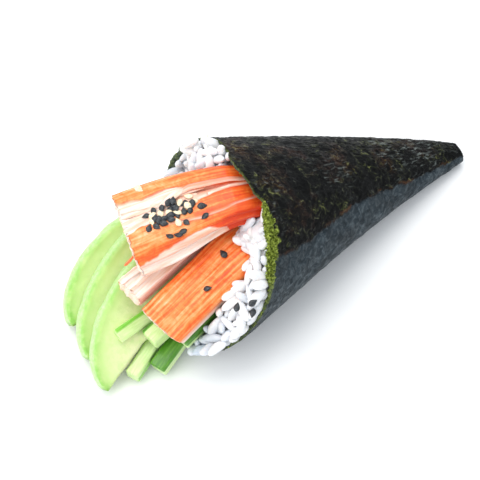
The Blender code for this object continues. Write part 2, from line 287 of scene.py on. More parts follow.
def rice_material(name="rice_grain", core=False):
    """Cooked rice: white and slightly see-through, each grain a little different in tone; low grains are mixed towards
    blue-grey as painted shade, and the core between grains is painted greyer as shade.
    """
    surface = Surface(name, roughness=0.42, specular=0.4)
    place = surface.place()
    cloudy = surface.noise(place, 500, detail=3)
    white = surface.ramp(cloudy, (0.3, srgb(228, 229, 232)), (0.6, srgb(243, 240, 238)), (0.8, srgb(250, 247, 244)))
    if core:
        # The core, seen in the gaps between grains, is painted greyer as shade.
        white = surface.mix(0.5, white, srgb(196, 202, 208))
    else:
        tone_and_low_shade = surface.attribute("tone_and_low_shade")
        # Each grain is mixed towards blue-grey by a random tone and, lower in the heap, by painted shade.
        white = surface.mix(surface.math("MULTIPLY", tone_and_low_shade, 0.8), white, srgb(176, 190, 206))
    surface.paint(white)
    surface.bump(surface.noise(place, 1400, detail=2), 0.12 * MM, 0.4)
    surface.soften(0.4, (1.0, 0.9, 0.8), 1.5 * MM)
    return surface.material


def crab_material():
    """Crab stick: white layered flesh under a skin streaked with orange."""
    surface = Surface("crab_flesh_and_skin", roughness=0.40, specular=0.45)
    run, lane = surface.attribute("run"), surface.attribute("lane")
    streaks = surface.noise(surface.vector(surface.math("MULTIPLY", run, 60), surface.math("MULTIPLY", lane, 900)),
                            1, detail=4, roughness=0.6)
    hatch = surface.noise(surface.vector(surface.math("MULTIPLY", run, 440), surface.math("MULTIPLY", lane, 300)),
                          1, detail=3, distortion=1.4)
    pattern = surface.math("MULTIPLY_ADD", streaks, 0.74, surface.math("MULTIPLY", hatch, 0.26))
    depth = surface.math("SUBTRACT", pattern, surface.math("MULTIPLY_ADD", surface.attribute("red"), 0.22, 0.01))
    orange = surface.ramp(depth, (0.22, srgb(220, 62, 18)), (0.38, srgb(240, 102, 34)), (0.48, srgb(247, 138, 66)),
                          (0.57, srgb(250, 168, 108)), (0.68, srgb(250, 200, 160)))
    layers = surface.noise(surface.vector(surface.math("MULTIPLY", run, 50), surface.math("MULTIPLY", lane, 800)),
                           1, detail=4, roughness=0.65)
    white = surface.ramp(layers, (0.32, srgb(232, 190, 165)), (0.46, srgb(243, 217, 199)), (0.58, srgb(248, 236, 226)))
    tint = surface.math("MULTIPLY", surface.attribute("red"), surface.between(layers, 0.75, 0.25))
    flesh = surface.mix(tint, white, srgb(236, 158, 126))
    surface.paint(surface.mix(surface.attribute("skin"), flesh, orange))
    surface.bump(pattern, 0.22 * MM, 0.55)
    surface.soften(0.15, (1.0, 0.5, 0.35), 1.5 * MM)
    return surface.material


def avocado_material():
    """Avocado flesh: deep green just under the skin, fading to pale yellow inwards, with a thin brown painted shadow
    along the edge on the stone's side.
    """
    surface = Surface("avocado_flesh", roughness=0.42, specular=0.4)
    place = surface.place()
    wander = surface.math("MULTIPLY", surface.math("SUBTRACT", surface.noise(place, 160, detail=3), 0.5), 2.6 * MM)
    depth = surface.math("ADD", surface.attribute("depth"), wander)
    green = surface.ramp(surface.between(depth, 0.0, 15 * MM), (0.04, srgb(140, 194, 88)), (0.12, srgb(176, 212, 122)),
                         (0.28, srgb(204, 226, 152)), (0.50, srgb(215, 229, 166)), (1.0, srgb(224, 227, 176)))
    blotches = surface.noise(place, 420, detail=4)
    mottled = surface.mix(surface.between(blotches, 0.45, 0.8), green, srgb(194, 218, 140))
    skin = surface.ramp(surface.noise(place, 900, detail=3), (0.35, srgb(168, 206, 126)), (0.7, srgb(194, 222, 162)))
    flesh = surface.mix(surface.attribute("skin"), mottled, skin)
    # A painted shadow: a broken brown line along the slice's edge on the stone's side.
    surface.paint(surface.mix(surface.attribute("stain"), flesh, srgb(150, 132, 92)))
    surface.bump(surface.math("ADD", blotches, surface.noise(place, 1500, detail=2)), 0.10 * MM, 0.5)
    surface.soften(0.15, (0.8, 1.0, 0.3), 1.5 * MM)
    return surface.material


def cucumber_material():
    """Cucumber: wet pale flesh, with dark green skin on one side."""
    surface = Surface("cucumber_flesh_and_skin", roughness=0.28, specular=0.5)
    place = surface.place()
    run, lane = surface.attribute("run"), surface.attribute("lane")
    grain = surface.noise(surface.vector(surface.math("MULTIPLY", run, 120), surface.math("MULTIPLY", lane, 900)),
                          1, detail=3)
    flesh = surface.ramp(grain, (0.3, srgb(186, 218, 132)), (0.55, srgb(210, 234, 164)), (0.75, srgb(226, 242, 188)))
    skin = surface.ramp(grain, (0.3, srgb(40, 92, 18)), (0.5, srgb(64, 118, 30)), (0.7, srgb(98, 152, 48)))
    under_skin = surface.ramp(grain, (0.3, srgb(96, 176, 34)), (0.7, srgb(142, 208, 70)))
    rind = surface.attribute("skin")
    edge = surface.mix(surface.between(rind, 0.0, 0.5), flesh, under_skin)
    surface.paint(surface.mix(surface.between(rind, 0.5, 1.0), edge, skin))
    surface.bump(surface.math("ADD", grain, surface.noise(place, 1800, detail=2)), 0.08 * MM, 0.5)
    surface.soften(0.15, (0.8, 1.0, 0.5), 1.2 * MM)
    return surface.material


def seed_material(name, dark, middle, light, roughness):
    """A sesame seed's dull coat, with a fine grain."""
    surface = Surface(name, roughness=roughness, specular=0.5)
    grain = surface.noise(surface.place(), 2200, detail=3)
    surface.paint(surface.ramp(grain, (0.3, dark), (0.5, middle), (0.75, light)))
    surface.bump(grain, 0.06 * MM, 0.6)
    return surface.material


def floor_material():
    """A plain pale floor with a hardly visible grain."""
    surface = Surface("floor", roughness=0.7, specular=0.2)
    grain = surface.noise(surface.place(), 60, detail=2)
    surface.paint(surface.ramp(grain, (0.3, srgb(250, 250, 250)), (0.7, srgb(253, 253, 253))))
    return surface.material


# ---------------------------------------------------------------- measuring the CAD

def cad_points(name):
    """The corners of a CAD node's mesh, one row each."""
    mesh = frame["nodes"][name].data
    flat = np.empty(len(mesh.vertices) * 3)
    mesh.vertices.foreach_get("co", flat)
    return flat.reshape(-1, 3)


def cut(name, place, normal):
    """The points where a plane crosses the edges of a CAD node."""
    shell = bmesh.new()
    shell.from_mesh(frame["nodes"][name].data)
    everything = shell.verts[:] + shell.edges[:] + shell.faces[:]
    found = bmesh.ops.bisect_plane(shell, geom=everything, plane_co=place, plane_no=normal)["geom_cut"]
    points = np.array([item.co[:] for item in found if isinstance(item, bmesh.types.BMVert)])
    shell.free()
    return points


def spread_axes(points):
    """The directions in which points spread most, second most and least."""
    values, vectors = np.linalg.eigh(np.cov((points - points.mean(0)).T))
    return vectors.T[::-1]


def unit(vectors):
    """Vectors scaled to length 1."""
    return vectors / np.linalg.norm(vectors, axis=-1, keepdims=True)


Bar = namedtuple("Bar", "places centre forward side up half length")
BAR_STATIONS = 14
BAR_MARGIN = 0.08                     # part of the bar at each end where sections are incomplete
ROLL_ASPECT = 1.3                     # bars flatter than this have a clear widthwise direction


def measure_bar(name):
    """A bar's middle line, directions and half sizes, from sections across its CAD node."""
    points = cad_points(name)
    axis = spread_axes(points)[0]
    axis = axis * np.sign(axis[0])
    reach = points @ axis
    low, high = reach.min(), reach.max()
    margin = (high - low) * BAR_MARGIN
    level_side = unit(np.cross(axis, UP))
    rings = []
    for place in np.linspace(low + margin, high - margin, BAR_STATIONS):
        rings.append(cut(name, points.mean(0) + axis * (place - points.mean(0) @ axis), axis))
    flat = rings[BAR_STATIONS // 2] - rings[BAR_STATIONS // 2].mean(0)
    side = spread_axes(flat)[0]
    if np.ptp(flat @ side) < ROLL_ASPECT * np.ptp(flat @ np.cross(side, axis)):
        side = level_side
    side = side * np.sign(side @ level_side)
    centre = []
    half = []
    up = np.cross(side, axis)
    for ring in rings:
        spans = [(ring @ direction).min() + (ring @ direction).max() for direction in (side, up)]
        along = ring.mean(0) @ axis
        centre.append(axis * along + side * spans[0] / 2 + up * spans[1] / 2)
        half.append([np.ptp(ring @ direction) / 2 for direction in (side, up)])
    centre, half = np.array(centre), np.array(half)
    forward = unit(np.gradient(centre, axis=0))
    start = centre[0] + forward[0] * ((points - centre[0]) @ forward[0]).min()
    end = centre[-1] + forward[-1] * ((points - centre[-1]) @ forward[-1]).max()
    centre = np.vstack([start, centre, end])
    forward, half = np.pad(forward, ((1, 1), (0, 0)), "edge"), np.pad(half, ((1, 1), (0, 0)), "edge")
    sides = unit(side - forward * (forward @ side)[:, None])
    steps = np.linalg.norm(np.diff(centre, axis=0), axis=1)
    length = steps.sum()
    places = np.concatenate([[0], np.cumsum(steps)]) / length
    return Bar(places, centre, forward, sides, np.cross(sides, forward), half, length)


def at(bar, part, table):
    """Rows of one of the bar's tables at parts of its length."""
    return np.stack([np.interp(part, bar.places, column) for column in table.T], axis=-1)


def on_bar(bar, part, across, height):
    """Points of a bar at parts of its length, with across and height from -1 to 1."""
    half = at(bar, part, bar.half)
    return (at(bar, part, bar.centre) + at(bar, part, bar.side) * (across * half[..., 0])[..., None]
            + at(bar, part, bar.up) * (height * half[..., 1])[..., None])


# ---------------------------------------------------------------- shapes

def fractal(places, octaves=3, seed=0.0):
    """Smooth noise between about -1 and 1 at each place, with lumps about 1 across."""
    flat = np.asarray(places, float).reshape(-1, 3)
    shift = Vector((seed * 17.3, seed * 5.7, seed * 9.1))
    found = [noise.fractal(Vector(place) + shift, 1.0, 2.0, octaves) for place in flat]
    return np.array(found).reshape(np.shape(places)[:-1])


def smooth_step(value, low, high):
    """0 below low, 1 above high and a smooth rise between."""
    part = np.clip((value - low) / (high - low), 0, 1)
    return part * part * (3 - 2 * part)


def follow(line, value):
    """The height of a line of (place, height) points at a value."""
    places, heights = zip(*line)
    return np.interp(value, places, heights)


def quads(rows, columns, first=0, closed=True):
    """Faces between rows of points that lie one after another."""
    faces = []
    for row in range(rows - 1):
        for column in range(columns if closed else columns - 1):
            beside = (column + 1) % columns
            low, high = first + row * columns, first + (row + 1) * columns
            faces.append((low + column, low + beside, high + beside, high + column))
    return faces


def make_piece(name, points, faces, material, slot, nodes=(), **values):
    """A smooth piece with a number of each kind stored at its points."""
    mesh = bpy.data.meshes.new(name)
    mesh.from_pydata(np.reshape(points, (-1, 3)).tolist(), [], faces)
    shell = bmesh.new()
    shell.from_mesh(mesh)
    bmesh.ops.recalc_face_normals(shell, faces=shell.faces)
    shell.to_mesh(mesh)
    shell.free()
    mesh.shade_smooth()
    for key, value in values.items():
        stored = mesh.attributes.new(key, "FLOAT", "POINT")
        stored.data.foreach_set("value", np.ravel(value).astype(np.float32))
    mesh.materials.append(material)
    made = bpy.data.objects.new(name, mesh)
    bpy.context.scene.collection.objects.link(made)
    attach(made, "root")
    if nodes:
        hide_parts(*nodes)
    return made


def closed_loft(rows, columns):
    """Faces of a body through rows of points, closed at both ends."""
    last = (rows - 1) * columns
    return quads(rows, columns) + [tuple(range(columns)), tuple(range(last, last + columns))]


def tree_of(*objects):
    """A search tree over the surfaces of objects."""
    shell = bmesh.new()
    for item in objects:
        shell.from_mesh(item.data)
    bmesh.ops.remove_doubles(shell, verts=shell.verts, dist=0.001 * MM)
    tree = BVHTree.FromBMesh(shell)
    shell.free()
    return tree


def section(count, squareness):
    """Points evenly spaced round a box with rounded corners, from -1 to 1 both ways."""
    angles = np.linspace(0, math.tau, 2000)
    across = np.sign(np.cos(angles)) * abs(np.cos(angles)) ** squareness
    height = np.sign(np.sin(angles)) * abs(np.sin(angles)) ** squareness
    run = np.concatenate([[0], np.cumsum(np.hypot(np.diff(across), np.diff(height)))])
    even = np.linspace(0, run[-1], count, endpoint=False)
    return np.interp(even, run, across), np.interp(even, run, height)


END_STEPS = 7
END_ROUND = 0.35 * MM


def bar_rows(length, spacing):
    """Rows along a bar and over its ends: part of the length, shrink towards the middle, and setback."""
    count = int(length / spacing)
    steps = np.linspace(0.04, 1, END_STEPS)
    setback = np.where(steps < 1, 0, END_ROUND)
    part = np.concatenate([np.zeros(END_STEPS), np.linspace(0, 1, count)[1:-1], np.ones(END_STEPS)])
    shrink = np.concatenate([steps, np.ones(count - 2), steps[::-1]])
    back = np.concatenate([setback, np.zeros(count - 2), -setback[::-1]])
    return part, shrink, back


# ---------------------------------------------------------------- crab sticks

STICK_SPACING = 0.34 * MM
UNDERCUT = 3.0 * MM                   # how far the lower stick's end is cut back below


def stick_shape(bar, columns, squareness, relief):
    """A stick's points and stored numbers. relief gives the lift of the upper face, the swell all
    round, the pull along the stick and to the side, and how much the surface is skin and how red."""
    part, shrink, back = bar_rows(bar.length, STICK_SPACING)
    across, height = section(columns, squareness)
    part, shrink, back = (row[:, None] + np.zeros(columns) for row in (part, shrink, back))
    across = across[None, :] * shrink
    height = height[None, :] * shrink
    run = part * bar.length
    half = at(bar, part, bar.half)
    mean_across, mean_height = bar.half.mean(0)
    lane = np.cumsum(np.hypot(np.diff(across, axis=1, append=across[:, :1]) * mean_across,
                              np.diff(height, axis=1, append=height[:, :1]) * mean_height), axis=1)
    lift, swell, pull, flare, skin, red = relief(run, lane, across, height, shrink)
    grown = 1 + swell / half[..., 1]
    points = on_bar(bar, part, across * grown, height * grown)
    points = points + at(bar, part, bar.up) * lift[..., None] + at(bar, part, bar.side) * flare[..., None]
    points = points + at(bar, part, bar.forward) * (pull + back)[..., None]
    return points, {"run": run, "lane": lane, "skin": skin, "red": red}


def fibres(run, lane, seed, run_scale=16 * MM, lane_scale=1.0 * MM):
    """Noise drawn out along a stick."""
    return fractal(np.stack([run / run_scale, lane / lane_scale, run * 0], axis=-1), 2, seed)


def upper_relief(run, lane, across, height, shrink):
    """The upper stick is torn open: two bands of skin with pale layers in the valley between."""
    mm = run / MM
    wander = 0.05 * fractal(np.stack([run / (5 * MM), run * 0, run * 0], axis=-1), 2, 3)
    far, flap = follow(FAR_SKIN, mm) + wander, follow(FLAP_EDGE, mm)
    near, split = follow(NEAR_SKIN, mm) + wander, follow(NEAR_SPLIT, mm)
    top = smooth_step(height, 0.45, 0.75)
    in_valley = smooth_step(across, far - 0.03, far + 0.05) * (1 - smooth_step(across, near - 0.06, near + 0.02))
    fade = 1 - 0.6 * smooth_step(mm, 14, 44)
    valley = in_valley * fade
    layers = fibres(run, across * 12 * MM + 0.12 * run, 5, 20 * MM, 1.5 * MM)
    slit = np.exp(-((across - flap - 0.09) / 0.055) ** 2) * smooth_step(mm, 20, 25) * (1 - smooth_step(mm, 34, 46))
    groove = np.exp(-((across - split) / 0.035) ** 2) * smooth_step(mm, 12, 18)
    lift = top * (-1.3 * MM * valley + 0.45 * MM * layers * valley - 1.3 * MM * slit - 0.55 * MM * groove)
    streak = fibres(run, lane, 1)
    side = (1 - top) * smooth_step(across, 0.8, 0.95)
    ledges = np.sin(height * 9 + 1.2 * fractal(np.stack([run / (14 * MM), height, run * 0], axis=-1), 2, 8))
    swell = 0.10 * MM * streak + 0.28 * MM * side * ledges
    torn = (1 - smooth_step(mm, 0, 5))
    pull = torn * (1.1 * MM * fibres(run * 0, lane, 9, MM, 1.1 * MM) + 0.5 * MM)
    ragged = 0.06 * fractal(np.stack([run / (3 * MM), run * 0, run * 0], axis=-1), 3, 7)
    hang = follow(HANG_EDGE, mm) + ragged
    shown = np.where(across > 0, smooth_step(height, hang - 0.05, hang + 0.05), 1.0)
    skin = shown * (1 - in_valley * top) * (1 - 0.75 * groove * top) * smooth_step(shrink, 0.9, 0.99)
    edge = np.exp(-((across - far) / 0.05) ** 2) + np.exp(-((across - near) / 0.06) ** 2)
    rounded = smooth_step(abs(across), 0.88, 1.0)
    red = smooth_step(mm, 18, 42) * (0.75 + 0.35 * smooth_step(across, 0.2, 1)) + 0.35 * edge + 0.5 * rounded
    peach = top * (np.exp(-((across - far - 0.12) / 0.10) ** 2) * smooth_step(mm, 2, 8) + 0.9 * slit)
    peach = peach + 0.9 * top * smooth_step(mm, 18, 34)
    peach = peach + 0.8 * side * np.exp(-((height - hang + 0.2) / 0.22) ** 2) + 0.25 * side
    red = np.where(skin > 0.5, red, peach)
    flare = 4.5 * MM * (1 - height) / 2 * smooth_step(across, 0.2, 1.0) * (1 - smooth_step(mm, 10, 38))
    return lift, swell, pull, flare, skin, np.clip(red, 0, 1.3)


def lower_relief(run, lane, across, height, shrink):
    """The lower stick lies flat with its skin up; its cut end is white."""
    top = smooth_step(height, 0.3, 0.6)
    stripes = np.sin(across * 26 + 0.8 * fractal(np.stack([run / (18 * MM), across, run * 0], axis=-1), 2, 2))
    streak = fibres(run, lane, 11)
    lift = top * (0.16 * MM * stripes + 0.30 * MM * fractal(np.stack([run / (9 * MM), across * 2, run * 0], axis=-1), 2, 4))
    swell = 0.08 * MM * streak
    pull = (1 - smooth_step(run / MM, 0, 4)) * 0.35 * MM * fibres(run * 0, lane, 12, MM, 1.5 * MM)
    skin = np.clip(top + smooth_step(height, -0.3, 0.3) * 0.8, 0, 1) * smooth_step(shrink, 0.9, 0.99)
    skin = skin * smooth_step(run / MM, 0.0, 0.7)
    red = 0.10 - 0.25 * stripes * top + 0.9 * smooth_step(-across, 0.86, 1.0) + 0.5 * smooth_step(run / MM, 30, 50)
    pull = pull + UNDERCUT * (1 - height) / 2 * (1 - smooth_step(run / MM, 0, 6))
    return lift, swell, pull, run * 0, skin, np.clip(red, 0, 1.3)


def half_relief(run, lane, across, height, shrink):
    """The half stick shows its cut side: pale layers, with skin only along the far edge."""
    top = smooth_step(height, 0.3, 0.6)
    ledges = np.sin(across * 8 + 1.5 * fractal(np.stack([run / (12 * MM), across, run * 0], axis=-1), 2, 21))
    lift = top * (0.35 * MM * ledges + 0.25 * MM * fibres(run, lane, 22, 10 * MM, 1.6 * MM))
    swell = 0.08 * MM * fibres(run, lane, 23)
    pull = (1 - smooth_step(run / MM, 0, 4)) * 0.8 * MM * fibres(run * 0, lane, 24, MM, 1.6 * MM)
    skin = smooth_step(-across, 0.70, 0.78) * smooth_step(shrink, 0.9, 0.99)
    red = np.where(skin > 0.5, 0.5, 0.35 + 0.3 * ledges)
    return lift, swell, pull, run * 0, skin, np.clip(red, 0, 1)


def ribbon(bar, line, width, thick, curl, skin, seed):
    """A thin layer of crab flesh along a bar. line has (mm from the free end, across, mm above the
    stick's face); width and thick are its size in its middle; curl lifts its two edges unequally."""
    rows, columns = 46, 14
    mm, across_line, lift_line = (np.array(column, float) for column in zip(*line))
    part = np.linspace(0, 1, rows)[:, None]
    knots = np.linspace(0, 1, len(line))
    run = np.interp(part, knots, mm) * MM
    turn = np.linspace(0, math.tau, columns, endpoint=False)[None, :]
    taper = np.sin(math.pi * np.clip(part * 0.96 + 0.02, 0, 1)) ** 0.35
    sideways = np.cos(turn) * width / 2 * taper
    sideways = sideways * (1 + 0.25 * fractal(np.stack([part * 6 + turn * 0, part * 0 + np.sign(np.cos(turn)),
                                                        part * 0 + turn * 0], axis=-1), 2, seed))
    rise = np.sin(turn) * thick / 2 * taper
    rise = rise + curl[0] * np.clip(-sideways / width * 2, 0, 2) ** 2 + curl[1] * np.clip(sideways / width * 2, 0, 2) ** 2
    rise = rise + np.interp(part, knots, lift_line) * MM
    rise = rise + 0.25 * MM * fractal(np.stack([part * 5 + turn * 0, sideways / (2 * MM), part * 0 + turn * 0], axis=-1), 2, seed)
    where = run / bar.length + turn * 0
    half = at(bar, where, bar.half)
    across = np.interp(part, knots, across_line) + sideways / half[..., 0]
    points = on_bar(bar, where, across, np.ones_like(across)) + at(bar, where, bar.up) * rise[..., None]
    edge = smooth_step(abs(sideways) / (width / 2), 0.6, 1.0)
    coloured = skin[0] + (skin[1] - skin[0]) * edge * (sideways < 0) + (skin[2] - skin[0]) * edge * (sideways >= 0)
    tint = 0.42 + 0.3 * coloured + 0.8 * smooth_step(run / MM, 14, 28) + turn * 0
    values = {"run": run + turn * 0, "lane": sideways + seed * MM, "skin": coloured, "red": tint}
    return points, values, closed_loft(rows, columns)


# Each layer: line, width, thickness, lift of its far and near edges, and how orange its middle,
# far edge and near edge are
Layer = namedtuple("Layer", "line width thick curl skin")
UPPER_LAYERS = (
    Layer(((1.0, -0.38, -0.8), (10, -0.32, -0.7), (20, -0.34, -0.4), (29, -0.28, -0.5)),
          4.4 * MM, 0.8 * MM, (-0.3 * MM, 0.3 * MM), (0.0, 0.3, 0.1)),
    Layer(((11, -0.08, -0.7), (17, -0.20, -0.1), (24, -0.33, 0.1), (33, -0.29, 0.0), (42, -0.25, -0.3)),
          2.6 * MM, 0.7 * MM, (-0.2 * MM, 0.5 * MM), (0.20, 1.0, 0.2)),
    Layer(((0.2, 0.02, -1.2), (9, 0.0, -1.1), (18, -0.02, -0.9), (26, -0.04, -0.9)),
          4.4 * MM, 0.7 * MM, (0.4 * MM, 0.3 * MM), (0.0, 0.05, 0.0)),
    Layer(((0.6, -0.20, -1.0), (7, -0.18, -0.9), (14, -0.16, -0.6), (20, -0.22, -0.5)),
          3.2 * MM, 0.7 * MM, (0.2 * MM, 0.4 * MM), (0.0, 0.0, 0.12)),
    Layer(((0.0, 0.22, -1.1), (8, 0.18, -0.9), (19, 0.14, -0.7), (29, 0.02, -0.7)),
          3.4 * MM, 0.8 * MM, (0.2 * MM, 0.3 * MM), (0.05, 0.0, 0.2)),
    Layer(((12, -0.02, -0.5), (15.5, -0.10, 0.4), (19, -0.20, 0.6), (23, -0.30, 0.1)),
          2.4 * MM, 0.7 * MM, (0.2 * MM, 0.1 * MM), (0.0, 0.0, 0.0)),
)
HALF_LAYERS = (
    Layer(((-1.6, -0.75, 0.3), (2, -0.70, 0.5), (8, -0.55, 0.4), (16, -0.4, 0.2)),
          2.4 * MM, 0.7 * MM, (0.4 * MM, 0.0), (0.0, 0.0, 0.0)),
    Layer(((0.5, 0.1, 0.1), (8, 0.1, 0.3), (20, 0.1, 0.3), (30, 0.1, 0.1)),
          3.0 * MM, 0.7 * MM, (0.1 * MM, 0.4 * MM), (0.0, 0.05, 0.1)),
)


SHRED_ROWS = 24
SHRED_COLUMNS = 10
SHRED_WIDTH = 1.1 * MM
SHRED_THICK = 0.6 * MM
# The loose shred's middle line: (mm from the free end, part of the half width, mm below the upper face)
SHRED_LINE = ((0.8, 0.90, 2.0), (-1.2, 0.88, 4.5), (-2.8, 0.80, 7.5), (-4.0, 0.72, 10.0))


def loose_shred(bar):
    """A thin shred of skin that hangs from a stick's free end, as points, stored numbers and faces."""
    knots = np.linspace(0, 1, len(SHRED_LINE))
    part = np.linspace(0, 1, SHRED_ROWS)
    run, across, below = (np.interp(part, knots, column) for column in zip(*SHRED_LINE))
    path = on_bar(bar, np.zeros(SHRED_ROWS), across, np.ones(SHRED_ROWS))
    path = path + (bar.forward[0] * run[:, None] - bar.up[0] * below[:, None]) * MM
    ahead = unit(np.gradient(path, axis=0))
    flat = unit(np.cross(ahead, bar.forward[0]))
    thin = np.cross(ahead, flat)
    turn = np.linspace(0, math.tau, SHRED_COLUMNS, endpoint=False)
    ragged = 1 + 0.3 * fractal(np.stack([part * 6, part * 0, part * 0], axis=-1), 2, 51)
    girth = (np.sin(math.pi * (0.06 + 0.88 * part)) ** 0.5 * ragged)[:, None]
    points = (path[:, None] + flat[:, None] * (girth * np.cos(turn) * SHRED_WIDTH / 2)[..., None]
              + thin[:, None] * (girth * np.sin(turn) * SHRED_THICK / 2)[..., None])
    ones = np.ones((SHRED_ROWS, SHRED_COLUMNS))
    values = {"run": ones * part[:, None] * 10 * MM, "lane": ones * np.cos(turn) * SHRED_WIDTH,
              "skin": ones, "red": 0.6 * ones}
    return points, values, closed_loft(SHRED_ROWS, SHRED_COLUMNS)


def joined(parts):
    """Several bodies as one list of points, faces and stored numbers."""
    points, faces, values, first = [], [], {}, 0
    for body_points, body_values, body_faces in parts:
        flat = np.reshape(body_points, (-1, 3))
        points.append(flat)
        faces += [tuple(index + first for index in face) for face in body_faces]
        for key, value in body_values.items():
            values.setdefault(key, []).append(np.ravel(value))
        first += len(flat)
    return np.vstack(points), faces, {key: np.concatenate(value) for key, value in values.items()}


def build_stick(name, columns, squareness, relief, layers, material, shredded=False):
    """A crab stick with its loose layers, as one piece."""
    bar = measure_bar(name)
    points, values = stick_shape(bar, columns, squareness, relief)
    bodies = [(points, values, closed_loft(*points.shape[:2]))]
    for seed, layer in enumerate(layers, start=30):
        bodies.append(ribbon(bar, *layer, seed))
    if shredded:
        bodies.append(loose_shred(bar))
    points, faces, values = joined(bodies)
    return make_piece(name + "_detailed", points, faces, material, "crab_stick", (name,), **values)


def build_sticks():
    """The three crab sticks."""
    material = crab_material()
    upper = build_stick("crab_stick_upper", 230, 0.5, upper_relief, UPPER_LAYERS, material, shredded=True)
    lower = build_stick("crab_stick_lower", 130, 0.45, lower_relief, (), material)
    half = build_stick("crab_stick_half", 84, 0.32, half_relief, HALF_LAYERS, material)
    return upper, lower, half


# ---------------------------------------------------------------- avocado and cucumber

SLICE_ROWS = 120
SLICE_FACE = 34
SLICE_EDGE = 14
SLICE_ROUND = 2.2 * MM


def measure_slice(name):
    """A slice's corner at its free tip, its directions and its length, depth and thickness."""
    points = cad_points(name)
    chord, out, up = spread_axes(points)
    chord = chord * -np.sign(chord @ np.array((-1.0, 0.0, 0.0)))
    up = up * np.sign(up[2])
    middle = (points @ out).min() / 2 + (points @ out).max() / 2
    if np.ptp((points @ chord)[points @ out > middle]) > np.ptp((points @ chord)[points @ out < middle]):
        out = -out
    low = np.array([(points @ direction).min() for direction in (chord, out, up)])
    size = np.array([np.ptp(points @ direction) for direction in (chord, out, up)])
    corner = chord * low[0] + out * low[1] + up * low[2]
    return corner, (chord, out, up), size


def slice_section(depth, thick):
    """Half a section of a slice from the stone's side over the face and round the skin's side:
    the reach outwards and the height, both rows, for each depth."""
    rounding = np.minimum(SLICE_ROUND, depth * 0.5)
    face = np.linspace(0, 1, SLICE_FACE)[None, :] * (depth - rounding)[:, None]
    turn = np.linspace(math.pi / 2, -math.pi / 2, SLICE_EDGE)[None, 1:-1]
    edge = (depth - rounding)[:, None] + rounding[:, None] * np.cos(turn)
    reach = np.hstack([face, edge, face[:, ::-1]])
    height = np.hstack([np.full(face.shape, thick / 2), thick / 2 * np.sin(turn) + 0 * edge,
                        np.full(face.shape, -thick / 2)])
    return reach, height


def build_slice(name, seed, material):
    """A slice of avocado: a half ellipse with soft edges and slightly wavy faces."""
    corner, (chord, out, up), (length, deep, thick) = measure_slice(name)
    angle = np.linspace(math.radians(9), math.radians(171), SLICE_ROWS)
    place = length / 2 * (1 - np.cos(angle) / math.cos(angle[0]))
    depth = deep * np.sin(angle)
    reach, height = slice_section(depth, thick)
    place = place[:, None] + reach * 0
    columns = reach.shape[1]
    from_middle = (place - length / 2) / (length / 2)
    outward = reach / deep
    rim = np.sqrt(from_middle ** 2 + outward ** 2) + 1e-6
    steep = np.sqrt((from_middle / (length / 2)) ** 2 + (outward / deep) ** 2) / rim
    to_skin = np.clip((1 - rim) / steep, 0, None)
    wave = fractal(np.stack([place / (11 * MM), reach / (7 * MM), reach * 0], axis=-1), 2, seed)
    fine = fractal(np.stack([place / (2.2 * MM), reach / (1.6 * MM), height / (2 * MM)], axis=-1), 2, seed + 1)
    corner_edge = smooth_step(reach, 0, 0.7 * MM)
    height = height * (0.86 + 0.14 * corner_edge) + 0.22 * MM * wave + 0.05 * MM * fine
    reach = reach + 0.45 * MM * fractal(np.stack([place / (6 * MM), height * 0, height * 0], axis=-1), 2, seed + 2)
    points = (corner + chord * place[..., None] + out * reach[..., None]
              + up * (height + thick / 2)[..., None])
    skin = smooth_step(reach, depth[:, None] - 1.3 * MM, depth[:, None] - 0.5 * MM)
    # Painted shadow: a broken brown line along the edge on the stone's side, where the slice meets what lies beside
    # it.
    stain = 0.55 * (1 - smooth_step(reach, 0, 0.9 * MM)) * smooth_step(wave, -0.3, 0.4)
    return make_piece(name + "_detailed", points, closed_loft(SLICE_ROWS, columns), material, "avocado", (name,),
                      depth=to_skin, skin=skin, stain=stain)


BATON_COLUMNS = 56
BATON_SQUARENESS = 0.30
# Which way each baton's skin faces: (across, height) in its section, how far round it reaches, how
# dark it is, and how much wider the baton is towards the near side, in mm
BATON_SKINS = {"cucumber_baton_1": (-0.7, 0.75, 1.08, 0.5, 0.0), "cucumber_baton_2": (-1.0, 0.25, 0.82, 0.9, 0.0),
               "cucumber_baton_3": (1.0, -0.2, 0.9, 0.4, 0.0), "cucumber_baton_4": (-0.2, 1.0, 0.35, 0.88, 0.0),
               "cucumber_baton_5": (0.6, 0.8, 0.62, 0.9, 2.2)}


def build_baton(name, seed, material):
    """A baton of cucumber with crisp cut edges and skin on one side."""
    bar = measure_bar(name)
    part, shrink, back = bar_rows(bar.length, 0.5 * MM)
    across, height = section(BATON_COLUMNS, BATON_SQUARENESS)
    facing = unit(np.array(BATON_SKINS[name][:2]))
    toward = across * facing[0] + height * facing[1]
    part, shrink, back = (row[:, None] + np.zeros(BATON_COLUMNS) for row in (part, shrink, back))
    lane = np.linspace(0, 2 * (bar.half[0].sum()) * 2, BATON_COLUMNS)[None, :] + part * 0
    run = part * bar.length
    swell = 1 + 0.03 * fibres(run, lane, seed, 12 * MM, 1.5 * MM)
    points = on_bar(bar, part, across * shrink * swell, height * shrink * swell)
    points = points + at(bar, part, bar.forward) * back[..., None]
    limit, darkness, wider = BATON_SKINS[name][2:]
    points = points + at(bar, part, bar.side) * (wider * MM * (1 + across) / 2)[None, :, None]
    skin = darkness * smooth_step(toward * shrink, limit - 0.05, limit + 0.05)
    return make_piece(name + "_detailed", points, closed_loft(*points.shape[:2]), material, "cucumber", (name,),
                      run=run, lane=lane, skin=skin)


def build_vegetables():
    """The avocado slices and the cucumber batons."""
    avocado, cucumber = avocado_material(), cucumber_material()
    names = sorted(frame["nodes"])
    slices = [build_slice(name, 3 * number, avocado)
              for number, name in enumerate(names) if name.startswith("avocado")]
    batons = [build_baton(name, 40 + number, cucumber)
              for number, name in enumerate(names) if name.startswith("cucumber")]
    return slices + batons


# ---------------------------------------------------------------- nori

Cone = namedtuple("Cone", "half top centre mouth tip")
PROFILE_STATIONS = 16


